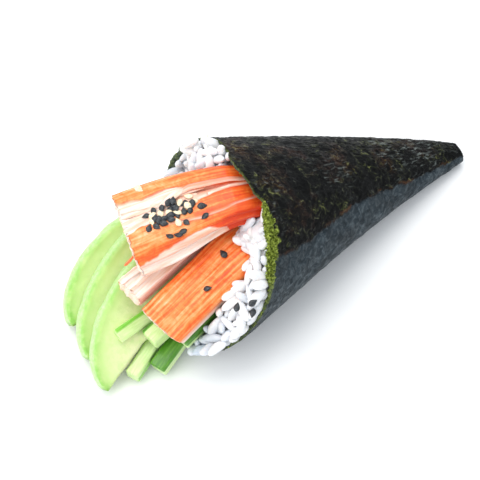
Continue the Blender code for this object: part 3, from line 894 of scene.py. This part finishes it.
def measure_cone():
    """The wrap's half width and height as lines in x, its sideways bend, its mouth plane and its tip."""
    points = cad_points("nori_wrap")
    angles = np.arctan2(points[:, 2] - points[:, 2].max() / 2, points[:, 1])
    bins = np.digitize(angles, np.linspace(-math.pi, math.pi, 37))
    rim = np.array([points[bins == number][points[bins == number][:, 0].argmin()] for number in np.unique(bins)])
    mouth = np.linalg.lstsq(np.column_stack([np.ones(len(rim)), rim[:, 1:]]), rim[:, 0], rcond=None)[0]
    tip = points[:, 0].max()
    top_rim = mouth[0] + mouth[2] * points[:, 2].max()
    side_rim = mouth[0] + mouth[2] * points[:, 2].max() / 2
    heights, widths = [], []
    for x in np.linspace(top_rim + 2 * MM, tip - 0.5 * MM, PROFILE_STATIONS):
        heights.append((x, cut("nori_wrap", (x, 0, 0), (1, 0, 0))[:, 2].max()))
    for x in np.linspace(side_rim + 4 * MM, tip - 0.5 * MM, PROFILE_STATIONS):
        ring = cut("nori_wrap", (x, 0, 0), (1, 0, 0))[:, 1]
        widths.append((x, np.ptp(ring) / 2, (ring.max() + ring.min()) / 2))
    heights, widths = np.array(heights), np.array(widths)
    return Cone(np.polyfit(widths[:, 0], widths[:, 1], 1), np.polyfit(*heights.T, 1), widths[:, (0, 2)], mouth, tip)


def cone_point(cone, x, angle, inset):
    """Points of the cone at places along it and angles round it, moved inwards by an inset."""
    half_width = np.polyval(cone.half, x) - inset
    half_height = np.polyval(cone.top, x) / 2
    y = np.interp(x, *cone.centre.T) + half_width * np.cos(angle)
    z = half_height + (half_height - inset) * np.sin(angle)
    floor = np.maximum(inset, 0)
    return np.stack([x + 0 * z, y, np.maximum(z, floor)], axis=-1)


def mouth_x(cone, angle, inset):
    """Where the mouth's plane cuts the cone at angles round it."""
    x = np.full(np.shape(angle), cone.mouth[0])
    for _ in range(30):
        points = cone_point(cone, x, angle, inset)
        x = x + 0.6 * (cone.mouth[0] + cone.mouth[1] * points[..., 1] + cone.mouth[2] * points[..., 2] - x)
    return x


def rim_offset(angle):
    """How far the rim strays outwards from the mouth's plane."""
    degrees = np.degrees(angle) % 360
    ragged = fractal(np.stack([np.cos(angle) * 14, np.sin(angle) * 14, angle * 0], axis=-1), 4, 2)
    return follow(RIM_WANDER, degrees) * MM + RIM_RAGGED * ragged


def sheet_relief(points, fibrous):
    """Bumps, creases and fibres of the pressed sheet."""
    lumps = 0.26 * MM * fractal(points / (6 * MM), 2, 1)
    wrinkles = 0.16 * MM * fractal(points / (1.7 * MM), 3, 2)
    slanted = points @ np.array([[0.9, 0.3, 0.3], [-0.35, 0.9, 0.2], [-0.2, -0.25, 0.95]])
    ridges = 1 - abs(fractal(slanted / np.array((7 * MM, 1.1 * MM, 1.1 * MM)), 2, 6))
    creases = 0.22 * MM * smooth_step(ridges, 0.86, 1.0)
    return lumps + (wrinkles + creases) * (0.35 + 0.65 * fibrous)


def torn_part(points, to_rim, degrees):
    """How torn the sheet is, from 0 to 1, in a ragged strip along its rim."""
    width = follow(TORN_WIDTH, degrees % 360) * MM
    ragged = 1 + 0.45 * fractal(points / (1.6 * MM), 3, 13)
    return 1 - smooth_step(to_rim / (width * ragged), 0.8, 1.1)


def build_nori(cone):
    """The rolled sheet with its frayed end lying on top, its layered rim and its rolled tip."""
    column = np.arange(SHEET_COLUMNS + 1)[None, :]
    part = np.linspace(0, 1, SHEET_ROWS)[:, None]
    turn = column / SHEET_COLUMNS
    length = cone.tip - mouth_x(cone, np.radians(SEAM_ANGLE), 0.0)
    radius = np.polyval(cone.half, cone.tip - part * length)
    fray = SEAM_FRAY * fractal(np.stack([part * 60, part * 0, part * 0], axis=-1), 4, 4) / radius
    seam = np.radians(SEAM_ANGLE + SEAM_WANDER * np.sin(3 * math.pi * part)) + fray
    angle = seam + turn * math.tau
    wide = follow(RIM_THICK, np.degrees(angle) % 360)
    edge = mouth_x(cone, angle[-1:], 0.0) - rim_offset(angle[-1:])
    x = cone.tip + (edge - cone.tip) * part
    outside = cone_point(cone, x, angle, -SHEET_LAP * turn)
    below = turn + 0.008 * fractal(np.stack([part * 30 + turn * 0, turn * 60 + part * 0, part * 0 + turn * 0], axis=-1), 3, 5)
    # fibrous is 0 on the smoother sheet below the seam, which gets the painted slate reflection.
    fibrous = 1 - smooth_step(below, -0.002, 0.008) * (1 - smooth_step(below, 0.5, 0.6))
    centre = cone_point(cone, x, angle * 0 + math.pi / 2, 0.0) * (1, 1, 0.5)
    outward = unit((outside - centre) * (0, 1, 1) + 1e-9)
    relief = sheet_relief(outside, fibrous) * smooth_step(np.minimum(turn, 1 - turn) + part * 0, -0.01, 0.01)
    torn_strip = torn_part(outside, (1 - part) * length, np.degrees(angle))
    tufts = (0.35 + 0.65 * fractal(outside / (1.1 * MM), 3, 15)) * TUFT_HEIGHT * torn_strip * follow(RIM_THICK, np.degrees(angle) % 360)
    outside = outside + outward * (relief + tufts)[..., None]
    outside[..., 2] = np.maximum(outside[..., 2], 0)

    inner_part = np.linspace(1, 0.12, INNER_ROWS)[:, None]
    rim_steps = np.linspace(0, 1, RIM_STEPS)[1:-1, None]
    last = outside[-1:]
    wall = SHEET_WALL + SHEET_LAP * turn * 0 + RIM_EXTRA * wide[-1:]
    inner_x = cone.tip + (edge - cone.tip) * inner_part
    near_rim = smooth_step(inner_part, 0.90, 1.0)
    inside = cone_point(cone, inner_x, angle[-1:], SHEET_WALL + (wall - SHEET_WALL) * near_rim)
    layered = 0.28 * MM * fractal(np.stack([last[..., 1] / (0.9 * MM) + rim_steps * 0, last[..., 2] / (0.9 * MM) + rim_steps * 0,
                                            rim_steps * 5 + last[..., 1] * 0], axis=-1), 3, 9)
    rim = last + (inside[:1] - last) * rim_steps[..., None]
    rim[..., 0] += layered * (0.5 + wide[-1:]) - 0.2 * MM * np.sin(rim_steps * math.pi)
    rows = np.concatenate([tip_rows(cone, outside[0]), outside, rim, inside])
    columns = SHEET_COLUMNS + 1
    faces = quads(len(rows), columns) + [tuple(range(columns)), tuple(range((len(rows) - 1) * columns, len(rows) * columns))]

    count = len(rows)
    first, rim_row = count - len(outside) - len(rim) - len(inside), count - len(rim) - len(inside)
    to_rim = np.full((count, columns), 1.0)
    to_rim[first:rim_row] = (1 - part) * length
    to_rim[rim_row:] = 0
    to_rim[rim_row + len(rim):] = (1 - inner_part) * length
    thick_part = follow(RIM_THICK, np.degrees(angle[-1:]) % 360)
    # How much of the rim is painted the lit torn green.
    torn = (1 - smooth_step(to_rim, 0.1 * MM, (0.5 + 1.0 * thick_part) * MM))
    torn[first:rim_row] = torn_strip
    torn = torn * (0.2 + 0.8 * thick_part)
    ones = np.zeros((count, columns))
    ones[first:rim_row] = fibrous
    ones[:first] = 1
    seam_near = np.zeros((count, columns))
    from_seam = np.minimum(turn, 1 - turn) * math.tau * radius
    seam_near[first:rim_row] = 0.55 * (1 - smooth_step(from_seam, 0.2 * MM, 1.2 * MM))
    return make_piece("nori_sheet_detailed", rows, faces, nori_material(), "nori", ("nori_wrap",),
                      fibrous=ones, torn=torn, seam=seam_near), rows[rim_row - BAND_ROWS:rim_row + len(rim)], torn[rim_row - BAND_ROWS:rim_row + len(rim)]


def tip_rows(cone, edge):
    """The blunt tip: turns of the rolled sheet, from the middle of the tip out to its edge."""
    middle = edge.mean(0)
    steps = np.linspace(0.08, 0.94, 14)[:, None]
    turn = np.linspace(0, 1, len(edge))[None, :]
    rows = middle + (edge[None] - middle) * steps[..., None]
    spiral = (steps * 4 + turn) % 1
    rows[..., 0] += -0.9 * MM * spiral ** 2 * (1 - 0.4 * steps) + 0.3 * MM * (1 - steps)
    rows[..., 0] = np.minimum(rows[..., 0], cone.tip + 0.3 * MM)
    return rows


def flake(centre, size, directions):
    """A small bent shred as a flattened double cone."""
    along, across, thin = directions
    ring = [centre + across * size * 0.35, centre + thin * size * 0.16,
            centre - across * size * 0.35, centre - thin * size * 0.16]
    points = [centre - along * size] + ring + [centre + along * size + thin * size * 0.3]
    faces = [(0, 1 + k, 1 + (k + 1) % 4) for k in range(4)] + [(5, 1 + (k + 1) % 4, 1 + k) for k in range(4)]
    return np.array(points), faces


def build_fringe(band, torn):
    """Torn shreds that stand out from the torn strip along the rim, painted the same bright green as light shining
    through it.
    """
    rows, columns = torn.shape
    bodies = []
    while len(bodies) < FRINGE_FLAKES:
        row, column = rng.randrange(rows), rng.randrange(columns)
        if rng.random() > torn[row, column] ** 3:
            continue
        along = unit(np.array([rng.uniform(-1, 0.4), rng.uniform(-1, 1), rng.uniform(-0.5, 1)]))
        across = unit(np.cross(along, np.array([rng.uniform(-1, 1), rng.uniform(-1, 1), rng.uniform(-1, 1)])))
        size = rng.uniform(0.3, 0.8) * MM
        centre = band[row, column] + np.array([rng.uniform(-0.3, 0.3), rng.uniform(-0.3, 0.3), rng.uniform(-0.1, 0.3)]) * MM
        points, faces = flake(centre, size, (along, across, np.cross(along, across)))
        points[:, 2] = np.maximum(points[:, 2], 0.05 * MM)
        bodies.append((points, {"torn": np.full(len(points), 1.0), "fibrous": np.ones(len(points)),
                                "seam": np.zeros(len(points))}, faces))
    points, faces, values = joined(bodies)
    return make_piece("nori_fringe", points, faces, bpy.data.materials["nori_sheet"], "nori", ("nori_wrap",), **values)


# ---------------------------------------------------------------- rice

def build_core(material, cone, obstacles):
    """The inside of the rice heap, set back so that grains can lie on it, most where fillings are near."""
    mesh = frame["nodes"]["rice"].data.copy()
    helper = bpy.data.objects.new("helper", mesh)
    bpy.context.scene.collection.objects.link(helper)
    remesh = helper.modifiers.new("even", "REMESH")
    remesh.mode = "VOXEL"
    remesh.voxel_size = 1.0 * MM
    bpy.context.view_layer.update()
    even = bpy.data.meshes.new_from_object(helper.evaluated_get(bpy.context.evaluated_depsgraph_get()))
    bpy.data.objects.remove(helper)
    points = np.array([corner.co[:] for corner in even.vertices])
    normals = np.array([corner.normal[:] for corner in even.vertices])
    relief = 0.5 * MM * fractal(points / (2.6 * MM), 2, 14)
    points = points - normals * (CORE_DEPTH + relief)[:, None]
    to_filling = np.array([obstacles.find_nearest(Vector(point))[3] for point in points])
    proud = before_mouth(cone, points)
    back = CORE_BEHIND * (1 - smooth_step(to_filling, 1 * MM, 5 * MM)) * smooth_step(proud, -14 * MM, -2 * MM)
    points[:, 0] += back
    allowed = follow(MOST_PROUD, degrees_round(cone, points)) * MM - CORE_BELOW
    points[:, 0] += np.clip(before_mouth(cone, points) - allowed, 0, None)
    points = drawn_in(cone, points, SHEET_WALL + 2 * MM)
    faces = [tuple(face.vertices) for face in even.polygons]
    return make_piece("rice_core", points, faces, material, "rice", ("rice",))


GRAIN_UNEVEN = 0.12                   # how far a grain strays from an even shape
SHADED_RICE_HEIGHT = 30 * MM                    # grains below this height get painted blue-grey shade, more the lower they lie
GRAIN_TURNS = 11
GRAIN_RINGS = 10


def grain_shape():
    """A grain of length 2 and width 2: blunt at both ends, with a slight waist, flattened."""
    points = []
    for ring in range(GRAIN_RINGS + 1):
        angle = math.pi * (0.03 + 0.94 * ring / GRAIN_RINGS)
        girth = math.sin(angle) ** 0.80
        for turn in range(GRAIN_TURNS):
            around = math.tau * turn / GRAIN_TURNS
            points.append((-math.cos(angle), girth * math.cos(around), girth * math.sin(around) * 0.80))
    return np.array(points), closed_loft(GRAIN_RINGS + 1, GRAIN_TURNS)


def lay_grains(front, cone, layers, least_proud, chance):
    """Places and directions for grains over the front of a heap, in layers."""
    shell = bmesh.new()
    shell.from_mesh(front)
    bmesh.ops.triangulate(shell, faces=shell.faces)
    outward = unit(np.array((-1.0, 0.0, cone.mouth[2])))
    faces, areas = [], []
    for face in shell.faces:
        corners = np.array([corner.co[:] for corner in face.verts])
        if np.array(face.normal) @ outward > 0.15 and before_mouth(cone, corners).mean() > least_proud:
            faces.append((corners, np.array(face.normal)))
            areas.append(face.calc_area())
    shell.free()
    grains = []
    reach = np.cumsum(areas).tolist()
    for layer in layers:
        laid = []
        for _ in range(9000):
            corners, normal = chance.choices(faces, cum_weights=reach)[0]
            first, second = sorted((chance.random(), chance.random()))
            place = corners[0] * first + corners[1] * (second - first) + corners[2] * (1 - second)
            place = place + normal * layer
            if all(np.sum((place - other[0]) ** 2) > GRAIN_GAP ** 2 for other in laid):
                any_way = np.array([chance.gauss(0, 1), chance.gauss(0, 1), chance.gauss(0, 1)])
                along = unit(any_way - normal * (any_way @ normal) * 0.75)
                laid.append((place, along, chance.uniform(*GRAIN_LENGTH) / 2, chance.uniform(*GRAIN_WIDTH) / 2))
        grains += laid
    return [np.array(column) for column in zip(*grains)]


def spread_pairs(balls, radius):
    """Moves that push the balls of neighbouring grains apart."""
    middle = balls[:, 1]
    squares = ((middle[:, None] - middle[None]) ** 2).sum(-1)
    first, second = np.nonzero(np.triu(squares < GRAIN_LENGTH[1] ** 2, 1))
    gap = balls[first][:, :, None] - balls[second][:, None]
    distance = np.linalg.norm(gap, axis=-1) + 1e-9
    overlap = np.clip((radius[first] + radius[second])[:, None, None] - distance, 0, None)
    shove = gap * (overlap / distance)[..., None]
    push = np.zeros_like(balls)
    np.add.at(push, first, shove.sum(2))
    np.add.at(push, second, -shove.sum(1))
    return push


def shove_out(tree, points, radius):
    """Moves that take balls out of the bodies in a search tree."""
    push = np.zeros_like(points)
    for index, point in enumerate(points):
        found, normal, _, distance = tree.find_nearest(point)
        normal = np.array(normal)
        inside = (point - np.array(found)) @ normal < 0
        depth = radius[index] + (distance if inside else -distance)
        if depth > 0:
            push[index] = normal * depth
    return push


def settle(centre, along, long_half, wide_half, cone, obstacles, bare, least_proud):
    """Push grains apart and out of the fillings, and keep them inside the rim and near their places."""
    from_middle = centre - (0, 0, np.polyval(cone.top, cone.mouth[0]) / 2)
    outward = unit(from_middle * (0, 1, 1) + 1e-9)
    centre = centre + outward * (follow(RICE_RAISED, degrees_round(cone, centre)) * MM)[:, None]
    home = centre.copy()
    reach = (long_half - wide_half * 0.4) * 0.66
    radius = wide_half * 0.92
    many = np.repeat(radius, 3)
    for _ in range(SETTLE_STEPS):
        balls = centre[:, None] + along[:, None] * (np.array((-1, 0, 1))[None, :, None] * reach[:, None, None])
        flat = balls.reshape(-1, 3)
        push = 0.4 * spread_pairs(balls, radius)
        push += 0.6 * shove_out(obstacles, flat, many).reshape(-1, 3, 3)
        push += wall_push(cone, flat, many).reshape(-1, 3, 3)
        size = np.linalg.norm(push, axis=-1, keepdims=True) + 1e-12
        push *= np.minimum(size, SETTLE_MOVE) / size
        centre = centre + push.mean(1) + (home - centre) * SETTLE_SPRING
        along = unit(along + (push[:, 2] - push[:, 0]) / (2 * reach)[:, None])
    left_over = np.linalg.norm(shove_out(obstacles, centre, radius), axis=1)
    proud = before_mouth(cone, centre)
    kept = (left_over < SETTLE_LEFT) & (proud > least_proud)
    kept &= proud < follow(MOST_PROUD, degrees_round(cone, centre)) * MM
    for shift in (-0.9, 0.9):
        end = centre + along * (long_half * shift)[:, None]
        inner = drawn_in(cone, end, SHEET_WALL)
        kept &= np.linalg.norm(inner - end, axis=1) < GRAIN_IN_SHEET
    for name, limit in PROUD_OVER.items():
        for shift in (-0.8, 0.0, 0.8):
            place = centre + along * (long_half * shift)[:, None]
            over = np.array([bare[name].ray_cast(Vector(point), -Vector(UP))[0] is not None for point in place])
            kept &= ~over | (before_mouth(cone, place) < follow(limit, degrees_round(cone, place)) * MM)
    return centre[kept], along[kept], long_half[kept], wide_half[kept]


def degrees_round(cone, points):
    """The angles of points round the cone's middle."""
    middle = np.polyval(cone.top, points[:, 0]) / 2
    return np.degrees(np.arctan2(points[:, 2] - middle, points[:, 1])) % 360


def before_mouth(cone, points):
    """How far points lie outside the mouth's plane, along X."""
    return cone.mouth[0] + points[:, 1:] @ cone.mouth[1:] - points[:, 0]


def drawn_in(cone, points, margin):
    """Points moved towards the cone's middle where they are nearer to the sheet than a margin."""
    half_width = np.polyval(cone.half, points[:, 0]) - margin
    half_height = np.polyval(cone.top, points[:, 0]) / 2
    middle = np.column_stack([points[:, 0], np.interp(points[:, 0], *cone.centre.T), half_height])
    from_middle = points - middle
    rim = np.hypot(from_middle[:, 1] / half_width, from_middle[:, 2] / (half_height - margin))
    outside = before_mouth(cone, points) < 0
    return middle + from_middle * np.where(outside, 1 / np.maximum(rim, 1), 1)[:, None]


def wall_push(cone, points, radius):
    """Moves that keep points inside the sheet where it surrounds them."""
    half_width = np.polyval(cone.half, points[:, 0]) - SHEET_WALL
    half_height = np.polyval(cone.top, points[:, 0]) / 2
    y = points[:, 1] - np.interp(points[:, 0], *cone.centre.T)
    z = points[:, 2] - half_height
    height = half_height - SHEET_WALL
    rim = np.sqrt((y / half_width) ** 2 + (z / height) ** 2) + 1e-9
    distance = (1 - rim) * np.sqrt(y ** 2 + z ** 2) / rim
    near_side = points[:, 1] < 0
    depth = np.clip(radius - distance, 0, None) * (near_side | (before_mouth(cone, points) < 0.5 * MM))
    inward = -unit(np.stack([y * 0, y / half_width ** 2, z / height ** 2], axis=-1))
    return inward * depth[:, None] * 0.6


def clear_of(grains, others):
    """Those grains that lie clear of others laid before."""
    centre, along, long_half, _ = others
    balls = np.concatenate([centre + along * (long_half * shift)[:, None] for shift in (-0.6, 0.0, 0.6)])
    distance = np.linalg.norm(grains[0][:, None] - balls[None], axis=-1).min(axis=1)
    return [column[distance > DEEP_GAP] for column in grains]


def grain_body(place, direction, long_half, wide_half, chance):
    """A grain's points, stored numbers and faces."""
    shape, faces = grain_shape()
    across = unit(np.cross(direction, np.array([chance.gauss(0, 1), chance.gauss(0, 1), chance.gauss(0, 1)])))
    bend = chance.uniform(-0.25, 0.25) * wide_half
    taper = chance.uniform(-0.12, 0.12)
    x, y, z = shape.T
    uneven = GRAIN_UNEVEN * fractal(shape * (0.9, 1.1, 1.1), 2, chance.uniform(0, 50))
    grown = 1 + taper * x + uneven
    points = (place + np.outer(x * long_half, direction)
              + np.outer(y * wide_half * grown + bend * x ** 2, across)
              + np.outer(z * wide_half * grown, np.cross(direction, across)))
    points[:, 2] = np.maximum(points[:, 2], 0.1 * MM)
    # Painted shade: the lower a grain lies, the more it is mixed towards blue-grey.
    low = 1 - min(place[2] / SHADED_RICE_HEIGHT, 1)
    return points, {"tone_and_low_shade": np.full(len(points), 0.6 * chance.random() ** 2 + 0.9 * low)}, faces


def build_rice(cone):
    """The heap of rice: single grains in front of a core."""
    fillings = {name: node for name, node in frame["nodes"].items() if name not in ("rice", "nori_wrap")}
    obstacles = tree_of(*fillings.values())
    core = build_core(rice_material("rice_inside", core=True), cone, obstacles)
    bare = {name: tree_of(bpy.data.objects[name + "_detailed"]) for name in PROUD_OVER}
    heap = lay_grains(frame["nodes"]["rice"].data, cone, GRAIN_LAYERS, -1.0 * MM, rng)
    top = settle(*heap, cone, obstacles, bare, LEAST_PROUD[0])
    deep = lay_grains(core.data, cone, DEEP_LAYERS, LEAST_PROUD[1], deep_rng)
    deep = clear_of(settle(*deep, cone, obstacles, bare, LEAST_PROUD[1]), top)
    bodies = [grain_body(*grain, rng) for grain in zip(*top)]
    bodies += [grain_body(*grain, deep_rng) for grain in zip(*deep)]
    points, faces, values = joined(bodies)
    grains = make_piece("rice_grains", points, faces, rice_material(), "rice", ("rice",), **values)
    return core, grains


# ---------------------------------------------------------------- sesame

SEED_LENGTH = 3.3 * MM
SEED_WIDTH = 2.2 * MM
SEED_THICK = 1.1 * MM
SEED_BEDDED = 0.15 * MM               # how deep a seed presses into what it lies on


def seed_shape():
    """A sesame seed: a flat drop, pointed at one end."""
    points = []
    for ring in range(10):
        part = 0.02 + 0.96 * ring / 9
        girth = math.sin(math.pi * part ** 1.35) ** 0.75
        for turn in range(12):
            around = math.tau * turn / 12
            points.append((SEED_LENGTH * (0.5 - part), SEED_WIDTH / 2 * girth * math.cos(around),
                           SEED_THICK / 2 * girth * math.sin(around)))
    return np.array(points), closed_loft(10, 12)


def scatter_seeds(tree, bar, spots, spread, count, gap):
    """Places on a surface round the given (mm from the free end, across) spots."""
    placed = []
    while len(placed) < count:
        mm, across = seed_rng.choice(spots)
        mm, across = mm + seed_rng.gauss(0, spread[0]), across + seed_rng.gauss(0, spread[1])
        part = np.array(mm * MM / bar.length)
        start = on_bar(bar, part, np.array(across), np.array(1.0)) + at(bar, part, bar.up) * 12 * MM
        found, normal, _, _ = tree.ray_cast(Vector(start), Vector(-at(bar, part, bar.up)))
        if found and all((found - other[0]).length > gap for other in placed):
            placed.append((found, unit(at(bar, part, bar.up) + 0.4 * np.array(normal))))
    return placed


def rest_on(tree, points, up):
    """How far a seed must be raised so that it lies on the surface below it."""
    sunk = [0.0]
    for point in points:
        found = tree.ray_cast(Vector(point + up * 6 * MM), Vector(-up), 12 * MM)[0]
        if found:
            sunk.append((np.array(found) - point) @ up)
    return max(sunk) - SEED_BEDDED


def build_seeds(name, material, slot, placed, tree):
    """Seeds lying on the given places, each turned its own way."""
    shape, faces = seed_shape()
    bodies = []
    for place, normal in placed:
        tilt = np.array([seed_rng.gauss(0, 1), seed_rng.gauss(0, 1), seed_rng.gauss(0, 1)])
        up = unit(normal + 0.2 * tilt)
        along = unit(np.cross(up, tilt))
        size = seed_rng.uniform(0.88, 1.08)
        points = np.array(place) + up * SEED_THICK * 0.42 + size * (
            np.outer(shape[:, 0], along) + np.outer(shape[:, 1], np.cross(up, along)) + np.outer(shape[:, 2], up))
        points = points + up * rest_on(tree, points[::3], up)
        bodies.append((points, {}, faces))
    points, faces, values = joined(bodies)
    return make_piece(name, points, faces, material, slot, **values)


def build_sesame(upper, lower, grains):
    """Black and white seeds on the crab sticks, and a few black ones on the rice."""
    upper_bar, lower_bar = measure_bar("crab_stick_upper"), measure_bar("crab_stick_lower")
    upper_tree, lower_tree = tree_of(upper), tree_of(lower, grains)
    cluster = ((13, 0.2), (16, 0.3), (18, 0.25), (20, 0.35))
    black = scatter_seeds(upper_tree, upper_bar, cluster, (3.6, 0.17), 25, 1.5 * MM)
    black += scatter_seeds(upper_tree, upper_bar, ((14.5, 0.93),), (1.2, 0.03), 3, 1.6 * MM)
    black += scatter_seeds(lower_tree, lower_bar, ((31.6, -0.18),), (0.1, 0.01), 1, MM)
    black += scatter_seeds(lower_tree, lower_bar, ((19.9, 0.40),), (0.1, 0.01), 1, MM)
    black += scatter_seeds(lower_tree, lower_bar, ((21.9, 1.73), (25.4, 2.26), (23.5, 2.4)), (0.3, 0.02), 3, 2.3 * MM)
    white = scatter_seeds(upper_tree, upper_bar, cluster, (4.0, 0.2), 10, 2.2 * MM)
    white += scatter_seeds(upper_tree, upper_bar, ((9.4, -0.8),), (0.1, 0.01), 1, MM)
    dark = seed_material("sesame_black", srgb(20, 22, 24), srgb(38, 42, 46), srgb(74, 80, 86), 0.38)
    light = seed_material("sesame_white", srgb(222, 196, 154), srgb(241, 223, 188), srgb(249, 240, 218), 0.42)
    everything = tree_of(upper, lower, grains)
    build_seeds("sesame_black_seeds", dark, "sesame_black", black, everything)
    build_seeds("sesame_white_seeds", light, "sesame_white", white, everything)


# ---------------------------------------------------------------- studio

def build_floor():
    """A plain floor under everything."""
    edge = FLOOR_SIZE / 2
    points = np.array([(-edge, -edge, 0), (edge, -edge, 0), (edge, edge, 0), (-edge, edge, 0)])
    mesh = bpy.data.meshes.new("floor")
    mesh.from_pydata((points - (0, 0, 0.1 * MM)).tolist(), [], [(0, 1, 2, 3)])
    mesh.materials.append(floor_material())
    floor = bpy.data.objects.new("floor", mesh)
    bpy.context.scene.collection.objects.link(floor)


def add_light(name, place, size, energy, colour):
    """A soft square light that faces the roll."""
    light = bpy.data.lights.new(name, "AREA")
    light.size = size
    light.energy = energy
    light.color = colour
    lamp = bpy.data.objects.new(name, light)
    lamp.location = place
    lamp.rotation_euler = (Vector((0, 0, 0.02)) - Vector(place)).to_track_quat("-Z", "Y").to_euler()
    bpy.context.scene.collection.objects.link(lamp)


def build_studio():
    """The camera, the lights and the white surroundings."""
    low, high = (Vector(corner) for corner in cad_box)
    target = Vector([(a + b) / 2 + (b - a) / 2 * part for a, b, part in zip(low, high, VIEW_TARGET)])
    back = Vector((math.sin(VIEW_AZIMUTH) * math.cos(VIEW_HEIGHT), -math.cos(VIEW_AZIMUTH) * math.cos(VIEW_HEIGHT),
                   math.sin(VIEW_HEIGHT)))
    camera = bpy.data.cameras.new("camera")
    camera.lens = LENS
    camera.sensor_width = 36
    camera.clip_start = 0.01
    holder = bpy.data.objects.new("camera", camera)
    holder.location = target + back * VIEW_DISTANCE
    holder.rotation_euler = back.to_track_quat("Z", "Y").to_euler()
    bpy.context.scene.collection.objects.link(holder)
    bpy.context.scene.camera = holder
    world = bpy.data.worlds.new("surroundings")
    world.use_nodes = True
    background = world.node_tree.nodes["Background"]
    background.inputs["Color"].default_value = (0.90, 0.95, 1.0, 1.0)
    background.inputs["Strength"].default_value = 0.95
    bpy.context.scene.world = world
    bpy.context.scene.view_settings.view_transform = "Standard"
    add_light("key", (0.0, 0.35, 1.05), 0.9, 7, (1.0, 0.98, 0.95))
    add_light("fill", (-0.8, -0.1, 0.6), 0.7, 4, (1.0, 0.98, 0.96))


def main():
    """Everything, in the order in which pieces rest on each other."""
    build_studio()
    build_floor()
    cone = measure_cone()
    sheet, band, torn = build_nori(cone)
    build_fringe(band, torn)
    upper, lower, half = build_sticks()
    build_vegetables()
    core, grains = build_rice(cone)
    build_sesame(upper, lower, grains)


main()
